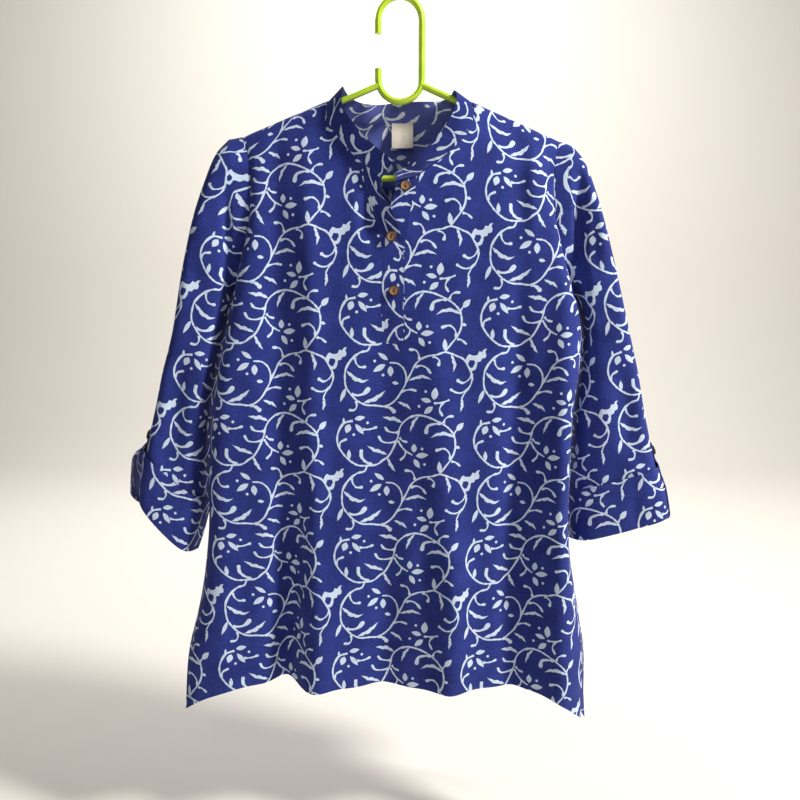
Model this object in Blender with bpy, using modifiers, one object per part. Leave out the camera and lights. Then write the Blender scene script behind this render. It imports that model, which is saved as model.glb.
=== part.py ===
"""A kurta tunic hanging on a tubular hanger.

Origin: the inside top of the hanger's hook. +X is the viewer's right, +Y points to the wall behind the
garment, +Z is up. Sizes are in millimetres, and metres() turns them into Blender's metres. Left and right in
the code are the viewer's; an object's name uses the wearer's, so the viewer's left sleeve is sleeve_right.

Each cloth piece is a grid mapped on its surface by a function, then given its wall with Solidify. The front's
columns run from one side seam to the other and its rows from the shoulder and the neckline to the armpit and
on to the hem. A sleeve is a tube of rings that fan out below the armhole. Neighbours stay SEAM apart.
"""

import math

import bmesh
import bpy
import numpy as np
from mathutils import Vector

# Walls and seams.
WALL = 1.2
COLLAR_WALL = 1.6
SEAM = 0.4  # between the edges of two pieces sewn together
LAID_ON = 0.4  # between two pieces that lie on each other
PINCH = WALL + SEAM / 2  # from y = 0 to a panel's outside, where front and back meet flat

# Hanger: a round tube, its hook open to the left above a round U.
TUBE_RADIUS = 4.0
TUBE_SIDES = 8
HOOK_RADIUS = 26.0  # of the hook's centreline
HOOK_TIP_Z = -38.0
U_CENTRE_Z = -90.0
STUB_TOP_Z = -78.0
ARM_START_X, ARM_START_Z = 29.0, -98.4
ARM_SLOPE = {-1: 0.412, 1: 0.438}  # the viewer's right arm bends a little more
BAR_Z = -206.0
TIP_RADIUS = 20.2
CORNER_STEP = math.radians(18)
HOOK_STEPS = 12

# The shoulders lie on the arms, CREST from their centreline.
CREST = 6.4
RIDGE = 0.6  # half the gap between front and back along the top
NECK_X = 86.0
TIP_X = {-1: -189.0, 1: 192.0}
ARMPIT = {-1: (-203.0, -338.0), 1: (214.0, -348.0)}
ARMHOLE_HOLLOW = 18.0  # how far the armhole's seam curves towards the middle
ARMHOLE_DEPTH = (34.0, 34.0)

# Depth from y = 0: it grows quickly below the arms, then changes slowly to the hem.
SPREAD = 60.0
FRONT_DEPTH = (40.0, 33.0)  # at the chest, at the hem
BACK_DEPTH = (30.0, 26.0)
SIDE_POWER = 4  # how late a panel turns back to its side seam

# Hem and side vents.
HEM_Z = -838.0
HEM_LIFT = 0.3  # the hem rises by this share of a fold's depth
CORNER_DROP = {"front": {-1: 31.0, 1: 44.0}, "back": {-1: 38.0, 1: 66.0}}
VENT_Z = -738.0
VENT_OPENS = {"front": 16.0, "back": 12.0}
FRONT_INSET = {-1: 7.0, 1: 9.0}  # the front's vent edges stand this far inside the back's at the hem

# Side seams: height, viewer's left x, viewer's right x.
SIDE_SEAMS = (
    (-338, -203, 213),
    (-389, -214, 224),
    (-431, -224, 223),
    (-485, -234, 216),
    (-562, -240, 213),
    (-651, -244, 214),
    (-741, -258, 228),
    (-798, -274, 239),
    (-870, -284, 244),
)

# Neckline below the band: x and z from the shoulder to the front opening, on each side.
NECKLINE = {
    -1: ((-86, -116), (-87, -127), (-86, -140), (-80, -152), (-69, -167), (-56, -182), (-43, -194)),
    1: ((86, -116), (88, -129), (85, -143), (76, -158), (66, -169), (55, -179), (43, -189), (30, -198),
        (20.5, -205)),
}
BACK_NECKLINE = ((-86, -116), (-82, -123), (-70, -130), (-45, -135), (0, -138))

# Front opening: height, x where the strip on top is sewn, x of its loose edge, x where the strip below is
# sewn, x of that one's loose edge. The top is unbuttoned and spread, the rest lies flat.
OPENING = (
    (-200, -41, -21, 19, -4),
    (-226, -38, -22.5, 15, -8),
    (-247, -31, -11, 11, -12),
    (-270, -23, -1, 7, -16),
    (-288, -19.6, 3.3, 4.6, -18.5),
    (-306, -19, 4, 4, -19),
    (-401, -19, 4, 4, -19),
)
OPENING_SEAM = 1.5  # between a strip and the edge it is sewn to
OPENING_END_Z = -401.0
STRIP_TOP = {"over": ((-41, -195), (-22, -211)), "under": ((18.4, -206.6), (-5, -212))}
STRIP_LIFT = 13.0  # how far the loose edge of the top strip stands forward where it is open
OPEN_FROM_Z, OPEN_TO_Z = -290.0, -240.0

# Band collar: width, and the direction it leans from its seam, from the left front end round the back.
BAND = 24.0
BAND_OFF = 1.8  # from the seam to the band's lower edge
BAND_LEAN = (
    # share of the way round, then x, y, z
    (0.00, 4, 19, 13),
    (0.08, 10, 16, 12),
    (0.18, 16, 9, 12),
    (0.27, 19, 1, 15),
    (0.33, 20, 0, 14),
    (0.38, 16, -2, 17),
    (0.50, 0, -9, 20),
    (0.62, -16, -2, 17),
    (0.67, -20, 0, 14),
    (0.73, -19, 1, 15),
    (0.82, -16, 9, 11),
    (0.92, -12, 16, 12),
    (1.00, 0, 20, 10),
)

# Folds: x and z at the top, x and z at the bottom, half width, depth (inwards), whether it runs to the hem.
FRONT_FOLDS = (
    (-124, -520, -149, -850, 17, 18, True),
    (-150, -560, -182, -850, 34, 8, True),
    (-122, -260, -118, -500, 22, 6, False),
    (-92, -660, -108, -850, 22, -11, True),
    (-14, -640, -22, -850, 26, 12, True),
    (66, -600, 62, -850, 24, -11, True),
    (120, -520, 134, -850, 30, 3, True),
    (150, -380, 168, -760, 26, 5, False),
    (-33, -206, -24, -276, 13, 8, False),
)
BACK_FOLDS = (
    (-150, -480, -168, -850, 24, 12, True),
    (-60, -600, -52, -850, 26, -9, True),
    (30, -520, 22, -850, 24, 14, True),
    (140, -560, 158, -850, 26, -8, True),
    (-20, -230, 30, -520, 34, 6, False),
)
SLEEVE_FOLDS = {
    -1: ((-207, -190, -207, -348, 9, 11, False), (-262, -400, -284, -570, 14, 8, False)),
    1: ((213, -185, 212, -352, 8, 12, False), (268, -420, 286, -560, 14, 7, False)),
}

# Sleeves, ring by ring from the armhole to the turned cuff's foot: outer x and z, height of the underarm
# seam and its distance from the body's side, half depth from front to back, y of the underarm seam.
SLEEVES = {
    -1: (
        (-206, -160, -343, 1.0, 36, 2),
        (-222, -178, -349, 1.0, 42, 4),
        (-236, -212, -358, 1.2, 48, 6),
        (-250, -254, -374, 1.4, 54, 7),
        (-264, -313, -402, 1.6, 57, 9),
        (-278, -388, -440, 1.8, 56, 10),
        (-292, -438, -484, 2.0, 51, 11),
        (-303, -482, -534, 2.2, 43, 14),
        (-317, -534, -598, 3.4, 35, 16),
        (-323, -564, -634, 9.0, 33, 16),
        (-326, -595, -668, 17.0, 33, 16),
    ),
    1: (
        (207, -167, -353, 1.0, 36, 2),
        (221, -184, -358, 1.0, 42, 4),
        (233, -214, -366, 1.2, 48, 6),
        (246, -256, -382, 1.4, 54, 7),
        (262, -314, -408, 1.6, 57, 9),
        (279, -382, -446, 1.8, 56, 10),
        (293, -436, -490, 2.0, 51, 11),
        (305, -492, -540, 2.0, 43, 14),
        (321, -556, -587, 3.3, 35, 16),
        (332, -587, -620, 3.3, 32, 16),
        (338, -618, -653, 3.3, 30, 16),
    ),
}
CUFF_FROM, FOOT = 9, 11  # rings where the cuff's upper edge and its foot are
CUFF_OFF = WALL + LAID_ON
TAB_WIDTH = 24.0
TAB_FROM, TAB_RISES, TAB_TO = 8.55, 8.84, 10.3  # rings: upper end, rise on to the cuff, end inside
TAB_STANDS = {-1: 12.0, 1: 1.0}  # how far it buckles away from the cuff
FOOT_SAG = {-1: 7.0, 1: 1.0}

# Buttons: turned wooden discs with two holes.
BUTTON_RADIUS = 6.3
BUTTON_THICK = 2.6
BUTTON_HOLE_RADIUS = 0.9
BUTTON_HOLE_SPACING = 3.2
BUTTON_SIDES = 16
BUTTONS = {"button_1": ("under", -219.5), "button_2": ("over", -278.0), "button_3": ("over", -341.0)}
BUTTON_OFF = 1.3
SHANK_RADIUS = 0.6

LABEL_LEFT, LABEL_RIGHT, LABEL_TOP_Z, LABEL_FOOT_Z = -10.0, 16.0, -139.5, -167.5
LABEL_STANDS_OFF = 6.0
LABEL_WALL = 1.0

# Shares of a panel's height above the armpit, and so of half a sleeve ring: close together over the arm.
UPPER_ROWS = (0, 0.005, 0.025, 0.07, 0.14, 0.24, 0.36, 0.48, 0.6, 0.72, 0.83, 0.93, 1)
LOWER_ROWS = 12

# Shares of a panel's width, from its side seam to the middle. The shoulder ends at NECK_SHARE.
NECK_SHARE = {"front": 0.47, "back": 0.52}
MIDDLE = 1 - 1e-6
FRONT_SHARES = (0, 0.03, 0.08, 0.15, 0.22, 0.3, 0.39, 0.47, 0.485, 0.52)
FRONT_SHARES += (0.58, 0.65, 0.73, 0.81, 0.9, MIDDLE)
BACK_SHARES = (0, 0.03, 0.09, 0.17, 0.26, 0.35, 0.44, 0.52, 0.535, 0.58, 0.66, 0.77, 0.88)
STRIP_SHARES = (0, 0.3, 0.65, 1)

CLOTH = (0.032, 0.036, 0.24, 1)
WEARERS = {-1: "right", 1: "left"}  # the wearer's side on the viewer's left and right


def metres(point):
    return Vector([float(v) * 0.001 for v in point])


def mix(a, b, t):
    return a + (b - a) * t


def ease(t):
    t = min(max(t, 0.0), 1.0)
    return t * t * (3 - 2 * t)


def smooth(knots, values, at):
    """The value at `at` of a smooth curve through rising knots; past its ends it keeps its slope."""
    knots, values = np.asarray(knots, float), np.asarray(values, float)
    slopes = np.gradient(values, knots)
    i = int(np.clip(np.searchsorted(knots, at) - 1, 0, len(knots) - 2))
    span = knots[i + 1] - knots[i]
    t = (at - knots[i]) / span
    if t < 0:
        return values[0] + slopes[0] * span * t
    if t > 1:
        return values[-1] + slopes[-1] * span * (t - 1)
    rise = values[i + 1] - values[i]
    start, end = slopes[i] * span, slopes[i + 1] * span
    return values[i] + t * (start + t * ((3 * rise - 2 * start - end) + t * (start + end - 2 * rise)))


def column(table, key, value, at):
    """A table's column as a smooth function of another one that falls from row to row."""
    return smooth([-row[key] for row in table], [row[value] for row in table], -at)


def along(points, share):
    """A place on a smooth curve through points, by its share of the length."""
    points = np.asarray(points, float)
    steps = np.linalg.norm(np.diff(points, axis=0), axis=1)
    at = np.concatenate([[0], np.cumsum(steps)]) / steps.sum()
    return np.array([smooth(at, points[:, k], share) for k in range(points.shape[1])])


# Where the cloth lies


def arm_z(x):
    return ARM_START_Z - ARM_SLOPE[1 if x > 0 else -1] * (abs(x) - ARM_START_X)


def shoulder_z(x):
    return arm_z(x) + CREST * math.hypot(1, ARM_SLOPE[1 if x > 0 else -1])


def side_x(side, z):
    return column(SIDE_SEAMS, 0, 1 if side < 0 else 2, z)


def folds(table, x, z):
    """How far the folds push the cloth inwards at x, z."""
    total = 0.0
    for x0, z0, x1, z1, half, depth, to_hem in table:
        t = (z0 - z) / (z0 - z1)
        if t <= 0 or (t >= 1 and not to_hem):
            continue
        grown = ease(2 * t) if to_hem else math.sin(math.pi * t)
        total += depth * grown * math.exp(-(((x - mix(x0, x1, t)) / half) ** 2))
    return total


def hung_depth(x, z, depths):
    """Depth of a panel that lies round the arm at its top and falls free below it."""
    below = shoulder_z(x) - z
    bend = min(max(below, 0.0), CREST)
    full = mix(*depths, ease((SIDE_SEAMS[0][0] - z) / (SIDE_SEAMS[0][0] - HEM_Z)))
    over_arm = RIDGE + math.sqrt(CREST**2 - (CREST - bend) ** 2)
    return over_arm + (full - CREST) * (1 - math.exp(-max(below, 0) / SPREAD))


def armhole(side, t):
    """x, z and half depth of the armhole's seam, from the shoulder (t = 0) to the armpit (t = 1)."""
    (foot_x, foot_z), top_x = ARMPIT[side], TIP_X[side]
    x = mix(top_x, foot_x, t) - side * ARMHOLE_HOLLOW * math.sin(math.pi * t**0.8)
    z = mix(shoulder_z(top_x), foot_z, t)
    return x, z, hung_depth(top_x, z, ARMHOLE_DEPTH) * (1 - t**2.5) ** 0.8


# Front and back


def front_top(side, share):
    """The front's upper edge: the shoulder seam for the first part, then the neckline."""
    shoulder_part = NECK_SHARE["front"]
    if share <= shoulder_part:
        x = mix(TIP_X[side], side * NECK_X, share / shoulder_part)
        return x, shoulder_z(x)
    return along(NECKLINE[side], (share - shoulder_part) / (1 - shoulder_part))


def back_top(side, share):
    shoulder_part = NECK_SHARE["back"]
    if share <= shoulder_part:
        x = mix(TIP_X[side], side * NECK_X, share / shoulder_part)
        return x, shoulder_z(x)
    x, z = along(BACK_NECKLINE, (share - shoulder_part) / (1 - shoulder_part))
    return -side * x, z


def opening_x(side, z):
    """The edge of the front beside the placket."""
    return column(OPENING, 0, 1 if side < 0 else 3, max(z, OPENING_END_Z)) + side * OPENING_SEAM


def panel_point(across, down, face):
    """A place on the outside of the front or the back.

    across runs from -1 at the viewer's left seam to 1, down from 0 at the top to 1 at the armpit and 2 at the
    hem. The front's two halves end at the opening, so there across jumps from just below 0 to just above.
    """
    side = -1 if across < 0 else 1
    share = 1 - abs(across)
    front = face == "front"
    depths, table = (FRONT_DEPTH, FRONT_FOLDS) if front else (BACK_DEPTH, BACK_FOLDS)
    foot_x, foot_z = ARMPIT[side]
    armpit_z = mix(foot_z, (ARMPIT[-1][1] + ARMPIT[1][1]) / 2, share)

    def inner_x(z):
        return opening_x(side, z) if front else 0.0

    if down <= 1:
        top = (front_top if front else back_top)(side, share)
        x = mix(top[0], mix(foot_x, inner_x(armpit_z), share), down)
        z = mix(top[1], armpit_z, down)
        x -= side * ARMHOLE_HOLLOW * math.sin(math.pi * down**0.8) * max(0.0, 1 - 2.2 * share) ** 2
        if front and z > OPENING_END_Z:
            held = max(0.0, (share - 0.6) / 0.4) ** 2
            x = mix(x, inner_x(z), held * ease(4 * down))
        edge = armhole(side, down)[2] + PINCH * down**4
    else:
        t = down - 1
        hem_x = mix(side_x(side, HEM_Z), inner_x(HEM_Z), share)
        hem_z = HEM_Z + HEM_LIFT * folds(table, hem_x, HEM_Z) - CORNER_DROP[face][side] * (1 - share) ** 7
        z = mix(armpit_z, hem_z, t)
        open_part = min(max((VENT_Z - z) / (VENT_Z - HEM_Z), 0.0), 1.3)
        seam_x = side_x(side, z) - side * (FRONT_INSET[side] * open_part**1.5 if front else 0)
        x = mix(seam_x, inner_x(z), share)
        edge = PINCH + VENT_OPENS[face] * open_part**1.4
    full = hung_depth(x, z, depths)
    y = edge + (full - edge) * (1 - (1 - share) ** SIDE_POWER)
    y -= folds(table, x, z) * (1 - (1 - share) ** 6)
    return x, -y if front else y, z


def front_y(x, z):
    """The front's outside near the middle, where the placket is."""
    return folds(FRONT_FOLDS, x, z) - hung_depth(x, z, FRONT_DEPTH)


def strip_point(share, down, which):
    """A place on a placket strip: share 0 at its seam to 1 at its loose edge, down 0 to 1."""
    (seam_x, seam_z), (loose_x, loose_z) = STRIP_TOP[which]
    top_x, top_z = mix(seam_x, loose_x, share), mix(seam_z, loose_z, share)
    z = mix(top_z, OPENING_END_Z + SEAM, down)
    sewn, loose = (1, 2) if which == "over" else (3, 4)
    x = mix(column(OPENING, 0, sewn, z), column(OPENING, 0, loose, z), share)
    x = mix(top_x, x, ease(6 * down))
    if which == "under":
        return x, front_y(x, z) + WALL / 2 + LAID_ON, z
    opened = ease((z - OPEN_FROM_Z) / (OPEN_TO_Z - OPEN_FROM_Z)) * (1 - 0.75 * ease(1 - 5 * down))
    return x, front_y(x, z) - WALL / 2 - STRIP_LIFT * opened * share**2, z


# Sleeves


def ring_values(side, ring):
    """Outer x and z, underarm z, half depth and y of the middle, at a whole or a part ring."""
    rows = SLEEVES[side]
    return [smooth(range(1, FOOT + 1), [row[k] for row in rows], ring) for k in range(len(rows[0]))]


def sleeve_point(side, ring, turn, off=0.0):
    """A place on the sleeve's outside.

    ring runs from 0 at the armhole to FOOT, and turn from 0 at the top over the front (1) to the underarm
    seam, and back over the back (-1). off moves it out from the surface.
    """
    t, facing = abs(turn), -1 if turn >= 0 else 1
    round_t = math.sqrt(max(0.0, 4 * t * (1 - t)))
    x0, z0, depth0 = armhole(side, t)
    x0 += side * SEAM
    if ring <= 0:
        return x0, facing * depth0, z0
    outer_x, outer_z, inner_z, clear, half, back_by = ring_values(side, max(ring, 1))
    inner_x = side_x(side, inner_z) + side * clear
    span = math.hypot(outer_x - inner_x, outer_z - inner_z)
    outer_x, outer_z, inner_x, inner_z = (
        outer_x + (outer_x - inner_x) * off / span,
        outer_z + (outer_z - inner_z) * off / span,
        inner_x - (outer_x - inner_x) * off / span,
        inner_z - (outer_z - inner_z) * off / span,
    )
    x, z = mix(outer_x, inner_x, t), mix(outer_z, inner_z, t)
    z -= FOOT_SAG[side] * 4 * t * (1 - t) * ease((ring - CUFF_FROM + 2) / 3)
    hollow = ARMHOLE_HOLLOW * math.sin(math.pi * t**0.8) * max(0.0, 1 - ring / 3.5) ** 2
    x -= side * hollow
    depth = (half + off) * round_t * math.sqrt(1 - 0.93 * t**4)
    y = back_by * mix(0.4, 1, t) + facing * depth
    if facing < 0:
        y += folds(SLEEVE_FOLDS[side], x, z) * (1 - t**6) * ease(6 * t)
    if ring < 1:
        ring = ring * ring * (2 - ring)
        return mix(x0, x, ring), mix(facing * depth0, y, ring), mix(z0, z, ring)
    return x, y, z


def tab_point(side, across, down):
    """A place on a sleeve tab, which runs down over the cuff, round the foot and up inside.

    across is in millimetres from its middle, and down runs from 0 at its upper end to 1 at its inner end.
    """
    on_sleeve, on_cuff = 2 * LAID_ON + WALL, CUFF_OFF + 2 * WALL + LAID_ON
    stands = TAB_STANDS[side]
    inside = -2 * WALL - 4 * LAID_ON
    centre, radius = (on_cuff + stands + inside) / 2, (on_cuff + stands - inside) / 2
    outer_part, bend_part = 0.6, 0.15
    sink, turned = 0.0, on_cuff
    if down <= outer_part:
        ring = mix(TAB_FROM, FOOT, down / outer_part)
        past = ring - TAB_RISES
        turned = mix(on_sleeve, on_cuff, ease(past / 0.14)) + stands * ease(past / 0.8)
    elif down <= outer_part + bend_part:
        angle = math.pi * (down - outer_part) / bend_part
        ring, turned, sink = FOOT, centre + radius * math.cos(angle), (3.6 + 0.2 * stands) * math.sin(angle)
    else:
        ring = mix(FOOT, TAB_TO, (down - outer_part - bend_part) / (1 - outer_part - bend_part))
        turned = inside
    half = ring_values(side, ring)[4]
    turn = math.copysign((across / (2 * half)) ** 2, across)
    foot = np.array(sleeve_point(side, FOOT, turn))
    leading = foot - np.array(sleeve_point(side, FOOT - 0.2, turn))
    return np.array(sleeve_point(side, ring, turn, turned)) + leading / np.linalg.norm(leading) * sink


# Collar


def collar_seam():
    """Places round the neck where the band is sewn, at the columns of the pieces below it."""

    def front(side):
        return [panel_point(side * (1 - s), 0, "front") for s in FRONT_SHARES if s >= NECK_SHARE["front"]]

    def strip(which):
        return [strip_point(share, 0, which) for share in STRIP_SHARES[1:]]

    half_back = [1 - share for share in BACK_SHARES if share > NECK_SHARE["back"]]
    across = [-a for a in half_back] + [1e-6] + half_back[::-1]
    back = [panel_point(a, 0, "back") for a in across]
    return np.array(strip("over")[::-1] + front(-1)[::-1] + back + front(1) + strip("under"))


def collar_points():
    """Rows of places on the inside of the band, from its seam to its upper edge."""
    seam = collar_seam()
    steps = np.linalg.norm(np.diff(seam, axis=0), axis=1)
    round_neck = np.concatenate([[0], np.cumsum(steps)]) / steps.sum()
    shares = [row[0] for row in BAND_LEAN]
    leans = np.array([row[1:] for row in BAND_LEAN])
    lean = np.array([[smooth(shares, leans[:, k], s) for k in range(3)] for s in round_neck])
    lean /= np.linalg.norm(lean, axis=1)[:, None]
    return [seam + lean * (BAND_OFF + BAND * up) for up in (1, 0.5, 0)]


# Making objects


def material(name, colour, roughness, metallic=0.0):
    found = bpy.data.materials.get(name)
    if found:
        return found
    made = bpy.data.materials.new(name)
    made.use_nodes = True
    shader = made.node_tree.nodes["Principled BSDF"]
    shader.inputs["Base Color"].default_value = colour
    shader.inputs["Roughness"].default_value = roughness
    shader.inputs["Metallic"].default_value = metallic
    return made


def add(name, bm, look, collection):
    mesh = bpy.data.meshes.new(name)
    bm.to_mesh(mesh)
    bm.free()
    mesh.shade_smooth()
    mesh.materials.append(look)
    made = bpy.data.objects.new(name, mesh)
    collection.objects.link(made)
    return made


def cloth(name, point, columns, rows, look, collection, wall=WALL, outwards=False, cut=None, closed=False):
    """A piece of cloth: a grid whose vertices are moved to point(column, row), with a wall.

    cut(i, j) names the cells to leave out. A closed piece has its first column on its last.
    """
    bm = bmesh.new()
    across, down = len(columns) - 1, len(rows) - 1
    bmesh.ops.create_grid(bm, x_segments=across, y_segments=down, size=1)
    place = {}
    for vert in bm.verts:
        i, j = round((vert.co.x + 1) / 2 * across), round((1 - vert.co.y) / 2 * down)
        place[vert] = (i, j)
    if cut:
        corners = {face: [min(place[v][k] for v in face.verts) for k in (0, 1)] for face in bm.faces}
        gone = [face for face, corner in corners.items() if cut(*corner)]
        bmesh.ops.delete(bm, geom=gone, context="FACES")
    for vert in bm.verts:
        i, j = place[vert]
        vert.co = metres(point(columns[i], rows[j]))
    if closed:
        bmesh.ops.remove_doubles(bm, verts=bm.verts, dist=0.00001)
    made = add(name, bm, look, collection)
    solidify = made.modifiers.new("wall", "SOLIDIFY")
    solidify.thickness = wall * 0.001
    solidify.offset = 1 if outwards else -1
    return made


def rounded(corners, radii):
    """A path through corners with each inner corner turned into an arc."""
    path = [Vector(corners[0])]
    for before, corner, after, radius in zip(corners, corners[1:], corners[2:], radii):
        before, corner, after = Vector(before), Vector(corner), Vector(after)
        a, b = (before - corner).normalized(), (after - corner).normalized()
        half = a.angle(b) / 2
        centre = corner + (a + b).normalized() * radius / math.sin(half)
        start = corner + a * radius / math.tan(half) - centre
        end = corner + b * radius / math.tan(half) - centre
        steps = max(2, round(start.angle(end) / CORNER_STEP))
        for k in range(steps + 1):
            path.append(centre + start.slerp(end, k / steps).normalized() * radius)
    path.append(Vector(corners[-1]))
    return path


def tube(name, path, look, collection):
    """A round tube along a path in the XZ plane, as a mesh with its caps joined on."""
    curve = bpy.data.curves.new(name, "CURVE")
    curve.dimensions = "3D"
    curve.bevel_depth = TUBE_RADIUS * 0.001
    curve.bevel_resolution = TUBE_SIDES // 4
    curve.use_fill_caps = True
    spline = curve.splines.new("POLY")
    spline.points.add(len(path) - 1)
    for point, (x, z) in zip(spline.points, path):
        point.co = (x * 0.001, 0, z * 0.001, 1)
    drawn = bpy.data.objects.new(name + "_curve", curve)
    collection.objects.link(drawn)
    graph = bpy.context.evaluated_depsgraph_get()
    mesh = bpy.data.meshes.new_from_object(drawn.evaluated_get(graph))
    bm = bmesh.new()
    bm.from_mesh(mesh)
    bmesh.ops.remove_doubles(bm, verts=bm.verts, dist=0.00001)
    bmesh.ops.recalc_face_normals(bm, faces=bm.faces)
    bpy.data.objects.remove(drawn)
    bpy.data.meshes.remove(mesh)
    return add(name, bm, look, collection)


def hanger(collection, helpers):
    look = material("lime plastic", (0.55, 0.75, 0.03, 1), 0.35)
    ends = {side: ARM_START_X + (ARM_START_Z - BAR_Z) / ARM_SLOPE[side] for side in (-1, 1)}
    corners = [
        (-HOOK_RADIUS, arm_z(-HOOK_RADIUS)),
        (-ends[-1], BAR_Z),
        (ends[1], BAR_Z),
        (HOOK_RADIUS, arm_z(HOOK_RADIUS)),
    ]
    hook = [(-HOOK_RADIUS, HOOK_TIP_Z)]
    for k in range(HOOK_STEPS + 1):
        angle = math.pi * (1 - k / HOOK_STEPS)
        hook.append((HOOK_RADIUS * math.cos(angle), HOOK_RADIUS * (math.sin(angle) - 1) + TUBE_RADIUS))
    for k in range(HOOK_STEPS + 1):
        angle = -math.pi * k / HOOK_STEPS
        hook.append((HOOK_RADIUS * math.cos(angle), U_CENTRE_Z + HOOK_RADIUS * math.sin(angle)))
    hook.append((-HOOK_RADIUS, STUB_TOP_Z))
    frame = tube("hanger", rounded(corners, [TIP_RADIUS, TIP_RADIUS]), look, collection)
    top = tube("hanger_hook", hook, look, helpers)
    top.hide_render = True
    top.display_type = "WIRE"
    joined = frame.modifiers.new("hook", "BOOLEAN")
    joined.operation = "UNION"
    joined.object = top
    frame.data.set_sharp_from_angle(angle=math.radians(60))


def body(look, collection):
    middle_z = [panel_point(-1e-6, down, "front")[2] for down in (1, 2)]
    open_rows = 2
    end = 1 + (middle_z[0] - OPENING_END_Z) / (middle_z[0] - middle_z[1])
    rows = list(UPPER_ROWS) + [mix(1, end, k / open_rows) for k in range(1, open_rows + 1)]
    rows += [mix(end, 2, k / LOWER_ROWS) for k in range(1, LOWER_ROWS + 1)]
    end_row = len(UPPER_ROWS) + open_rows - 1
    middle = len(FRONT_SHARES) - 1
    columns = [share - 1 for share in FRONT_SHARES] + [1 - share for share in reversed(FRONT_SHARES)]

    def slit(i, j):
        return i == middle and j < end_row

    cloth("front", panel("front"), columns, rows, look, collection, cut=slit)
    columns = [share - 1 for share in BACK_SHARES] + [1e-6] + [1 - share for share in reversed(BACK_SHARES)]
    cloth("back", panel("back"), columns[::-1], rows, look, collection)


def panel(face):
    return lambda across, down: panel_point(across, down, face)


def placket(look, collection):
    rows = [0, 0.05, 0.1, 0.17, 0.24, 0.31, 0.38, 0.46, 0.6, 0.8, 1]

    def over(share, down):
        return strip_point(share, down, "over")

    def under(share, down):
        return strip_point(share, down, "under")

    cloth("placket_over", over, STRIP_SHARES, rows, look, collection)
    cloth("placket_under", under, STRIP_SHARES[::-1], rows, look, collection)


def sleeve(side, look, collection):
    name = WEARERS[side]
    turns = [-t for t in UPPER_ROWS[:0:-1]] + list(UPPER_ROWS)
    rings = [0, 0.5, 1, 1.5, 2, 3, 4, 5, 6, 7, 8, 9, 10, FOOT]
    cuff_rings = [CUFF_FROM, 9.7, 10.4, FOOT]

    def wide(turn, ring):
        return sleeve_point(side, ring, turn)

    def turned_up(turn, ring):
        return sleeve_point(side, ring, turn, CUFF_OFF + WALL)

    def tab(across, down):
        return tab_point(side, across, down)

    order = turns[::side * -1]
    cloth("sleeve_" + name, wide, order, rings, look, collection, closed=True)
    cloth("cuff_" + name, turned_up, order, cuff_rings, look, collection, closed=True)
    across = [TAB_WIDTH * share for share in (-0.5, -0.25, 0, 0.25, 0.5)]
    rows = [0, 0.04, 0.073, 0.106, 0.17, 0.25, 0.35, 0.47, 0.6, 0.64, 0.675, 0.71, 0.75, 0.86, 1]
    cloth("tab_" + name, tab, across[::-side], rows, look, collection)


def collar(look, collection):
    points = collar_points()
    columns, rows = range(len(points[0])), range(len(points))

    def band(column_number, row_number):
        return points[row_number][column_number]

    cloth("collar", band, columns, rows, look, collection, wall=COLLAR_WALL, outwards=True)


def label(collection):
    cream = material("cream tape", (0.82, 0.76, 0.66, 1), 0.8)

    def hanging(share, down):
        x = mix(LABEL_LEFT, LABEL_RIGHT, share)
        z = mix(LABEL_TOP_Z, LABEL_FOOT_Z, down)
        seam_y = hung_depth(x, LABEL_TOP_Z, BACK_DEPTH) - WALL - LAID_ON - LABEL_WALL
        return x, seam_y - LABEL_STANDS_OFF * ease(down) * (0.6 + 0.4 * share), z

    cloth("label", hanging, (0, 0.5, 1), (0, 0.35, 0.7, 1), cream, collection, wall=LABEL_WALL)


def disc(name, radius, depth, sides, look, collection):
    bm = bmesh.new()
    radius, depth = radius * 0.001, depth * 0.001
    bmesh.ops.create_cone(bm, cap_ends=True, segments=sides, radius1=radius, radius2=radius, depth=depth)
    return add(name, bm, look, collection)


def button(name, place, facing, collection, helpers):
    """A disc on a thread shank at place, with two holes one above the other."""
    wood = material("coconut wood", (0.48, 0.25, 0.11, 1), 0.5)
    made = disc(name, BUTTON_RADIUS, BUTTON_THICK, BUTTON_SIDES, wood, collection)
    facing = Vector(facing).normalized()
    made.rotation_euler = facing.to_track_quat("Z", "Y").to_euler()
    made.location = metres(place) + facing * (BUTTON_OFF + BUTTON_THICK / 2) * 0.001
    bevel = made.modifiers.new("rim", "BEVEL")
    bevel.width = 0.0005
    bevel.segments = 1
    bevel.limit_method = "ANGLE"
    shank_length = BUTTON_OFF - LAID_ON + BUTTON_THICK / 2
    shank = disc(name + "_shank", SHANK_RADIUS, shank_length, 8, wood, helpers)
    shank.location = (0, 0, -(BUTTON_THICK / 2 + BUTTON_OFF - LAID_ON - shank_length / 2) * 0.001)
    tools = [(shank, "UNION")]
    for end in (-0.5, 0.5):
        hole = disc(f"{name}_hole_{end}", BUTTON_HOLE_RADIUS, BUTTON_THICK * 4, 8, wood, helpers)
        hole.location = (0, end * BUTTON_HOLE_SPACING * 0.001, 0)
        tools.append((hole, "DIFFERENCE"))
    for tool, operation in tools:
        tool.parent = made
        tool.hide_render = True
        tool.display_type = "WIRE"
        step = made.modifiers.new(tool.name, "BOOLEAN")
        step.operation = operation
        step.object = tool


def flat_at(point, share, down):
    """A point of a surface and the normal of the patch round it."""
    left, right = Vector(point(share - 0.25, down)), Vector(point(share + 0.25, down))
    above, below = Vector(point(share, down - 0.03)), Vector(point(share, down + 0.03))
    return Vector(point(share, down)), (below - above).cross(right - left)


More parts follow.
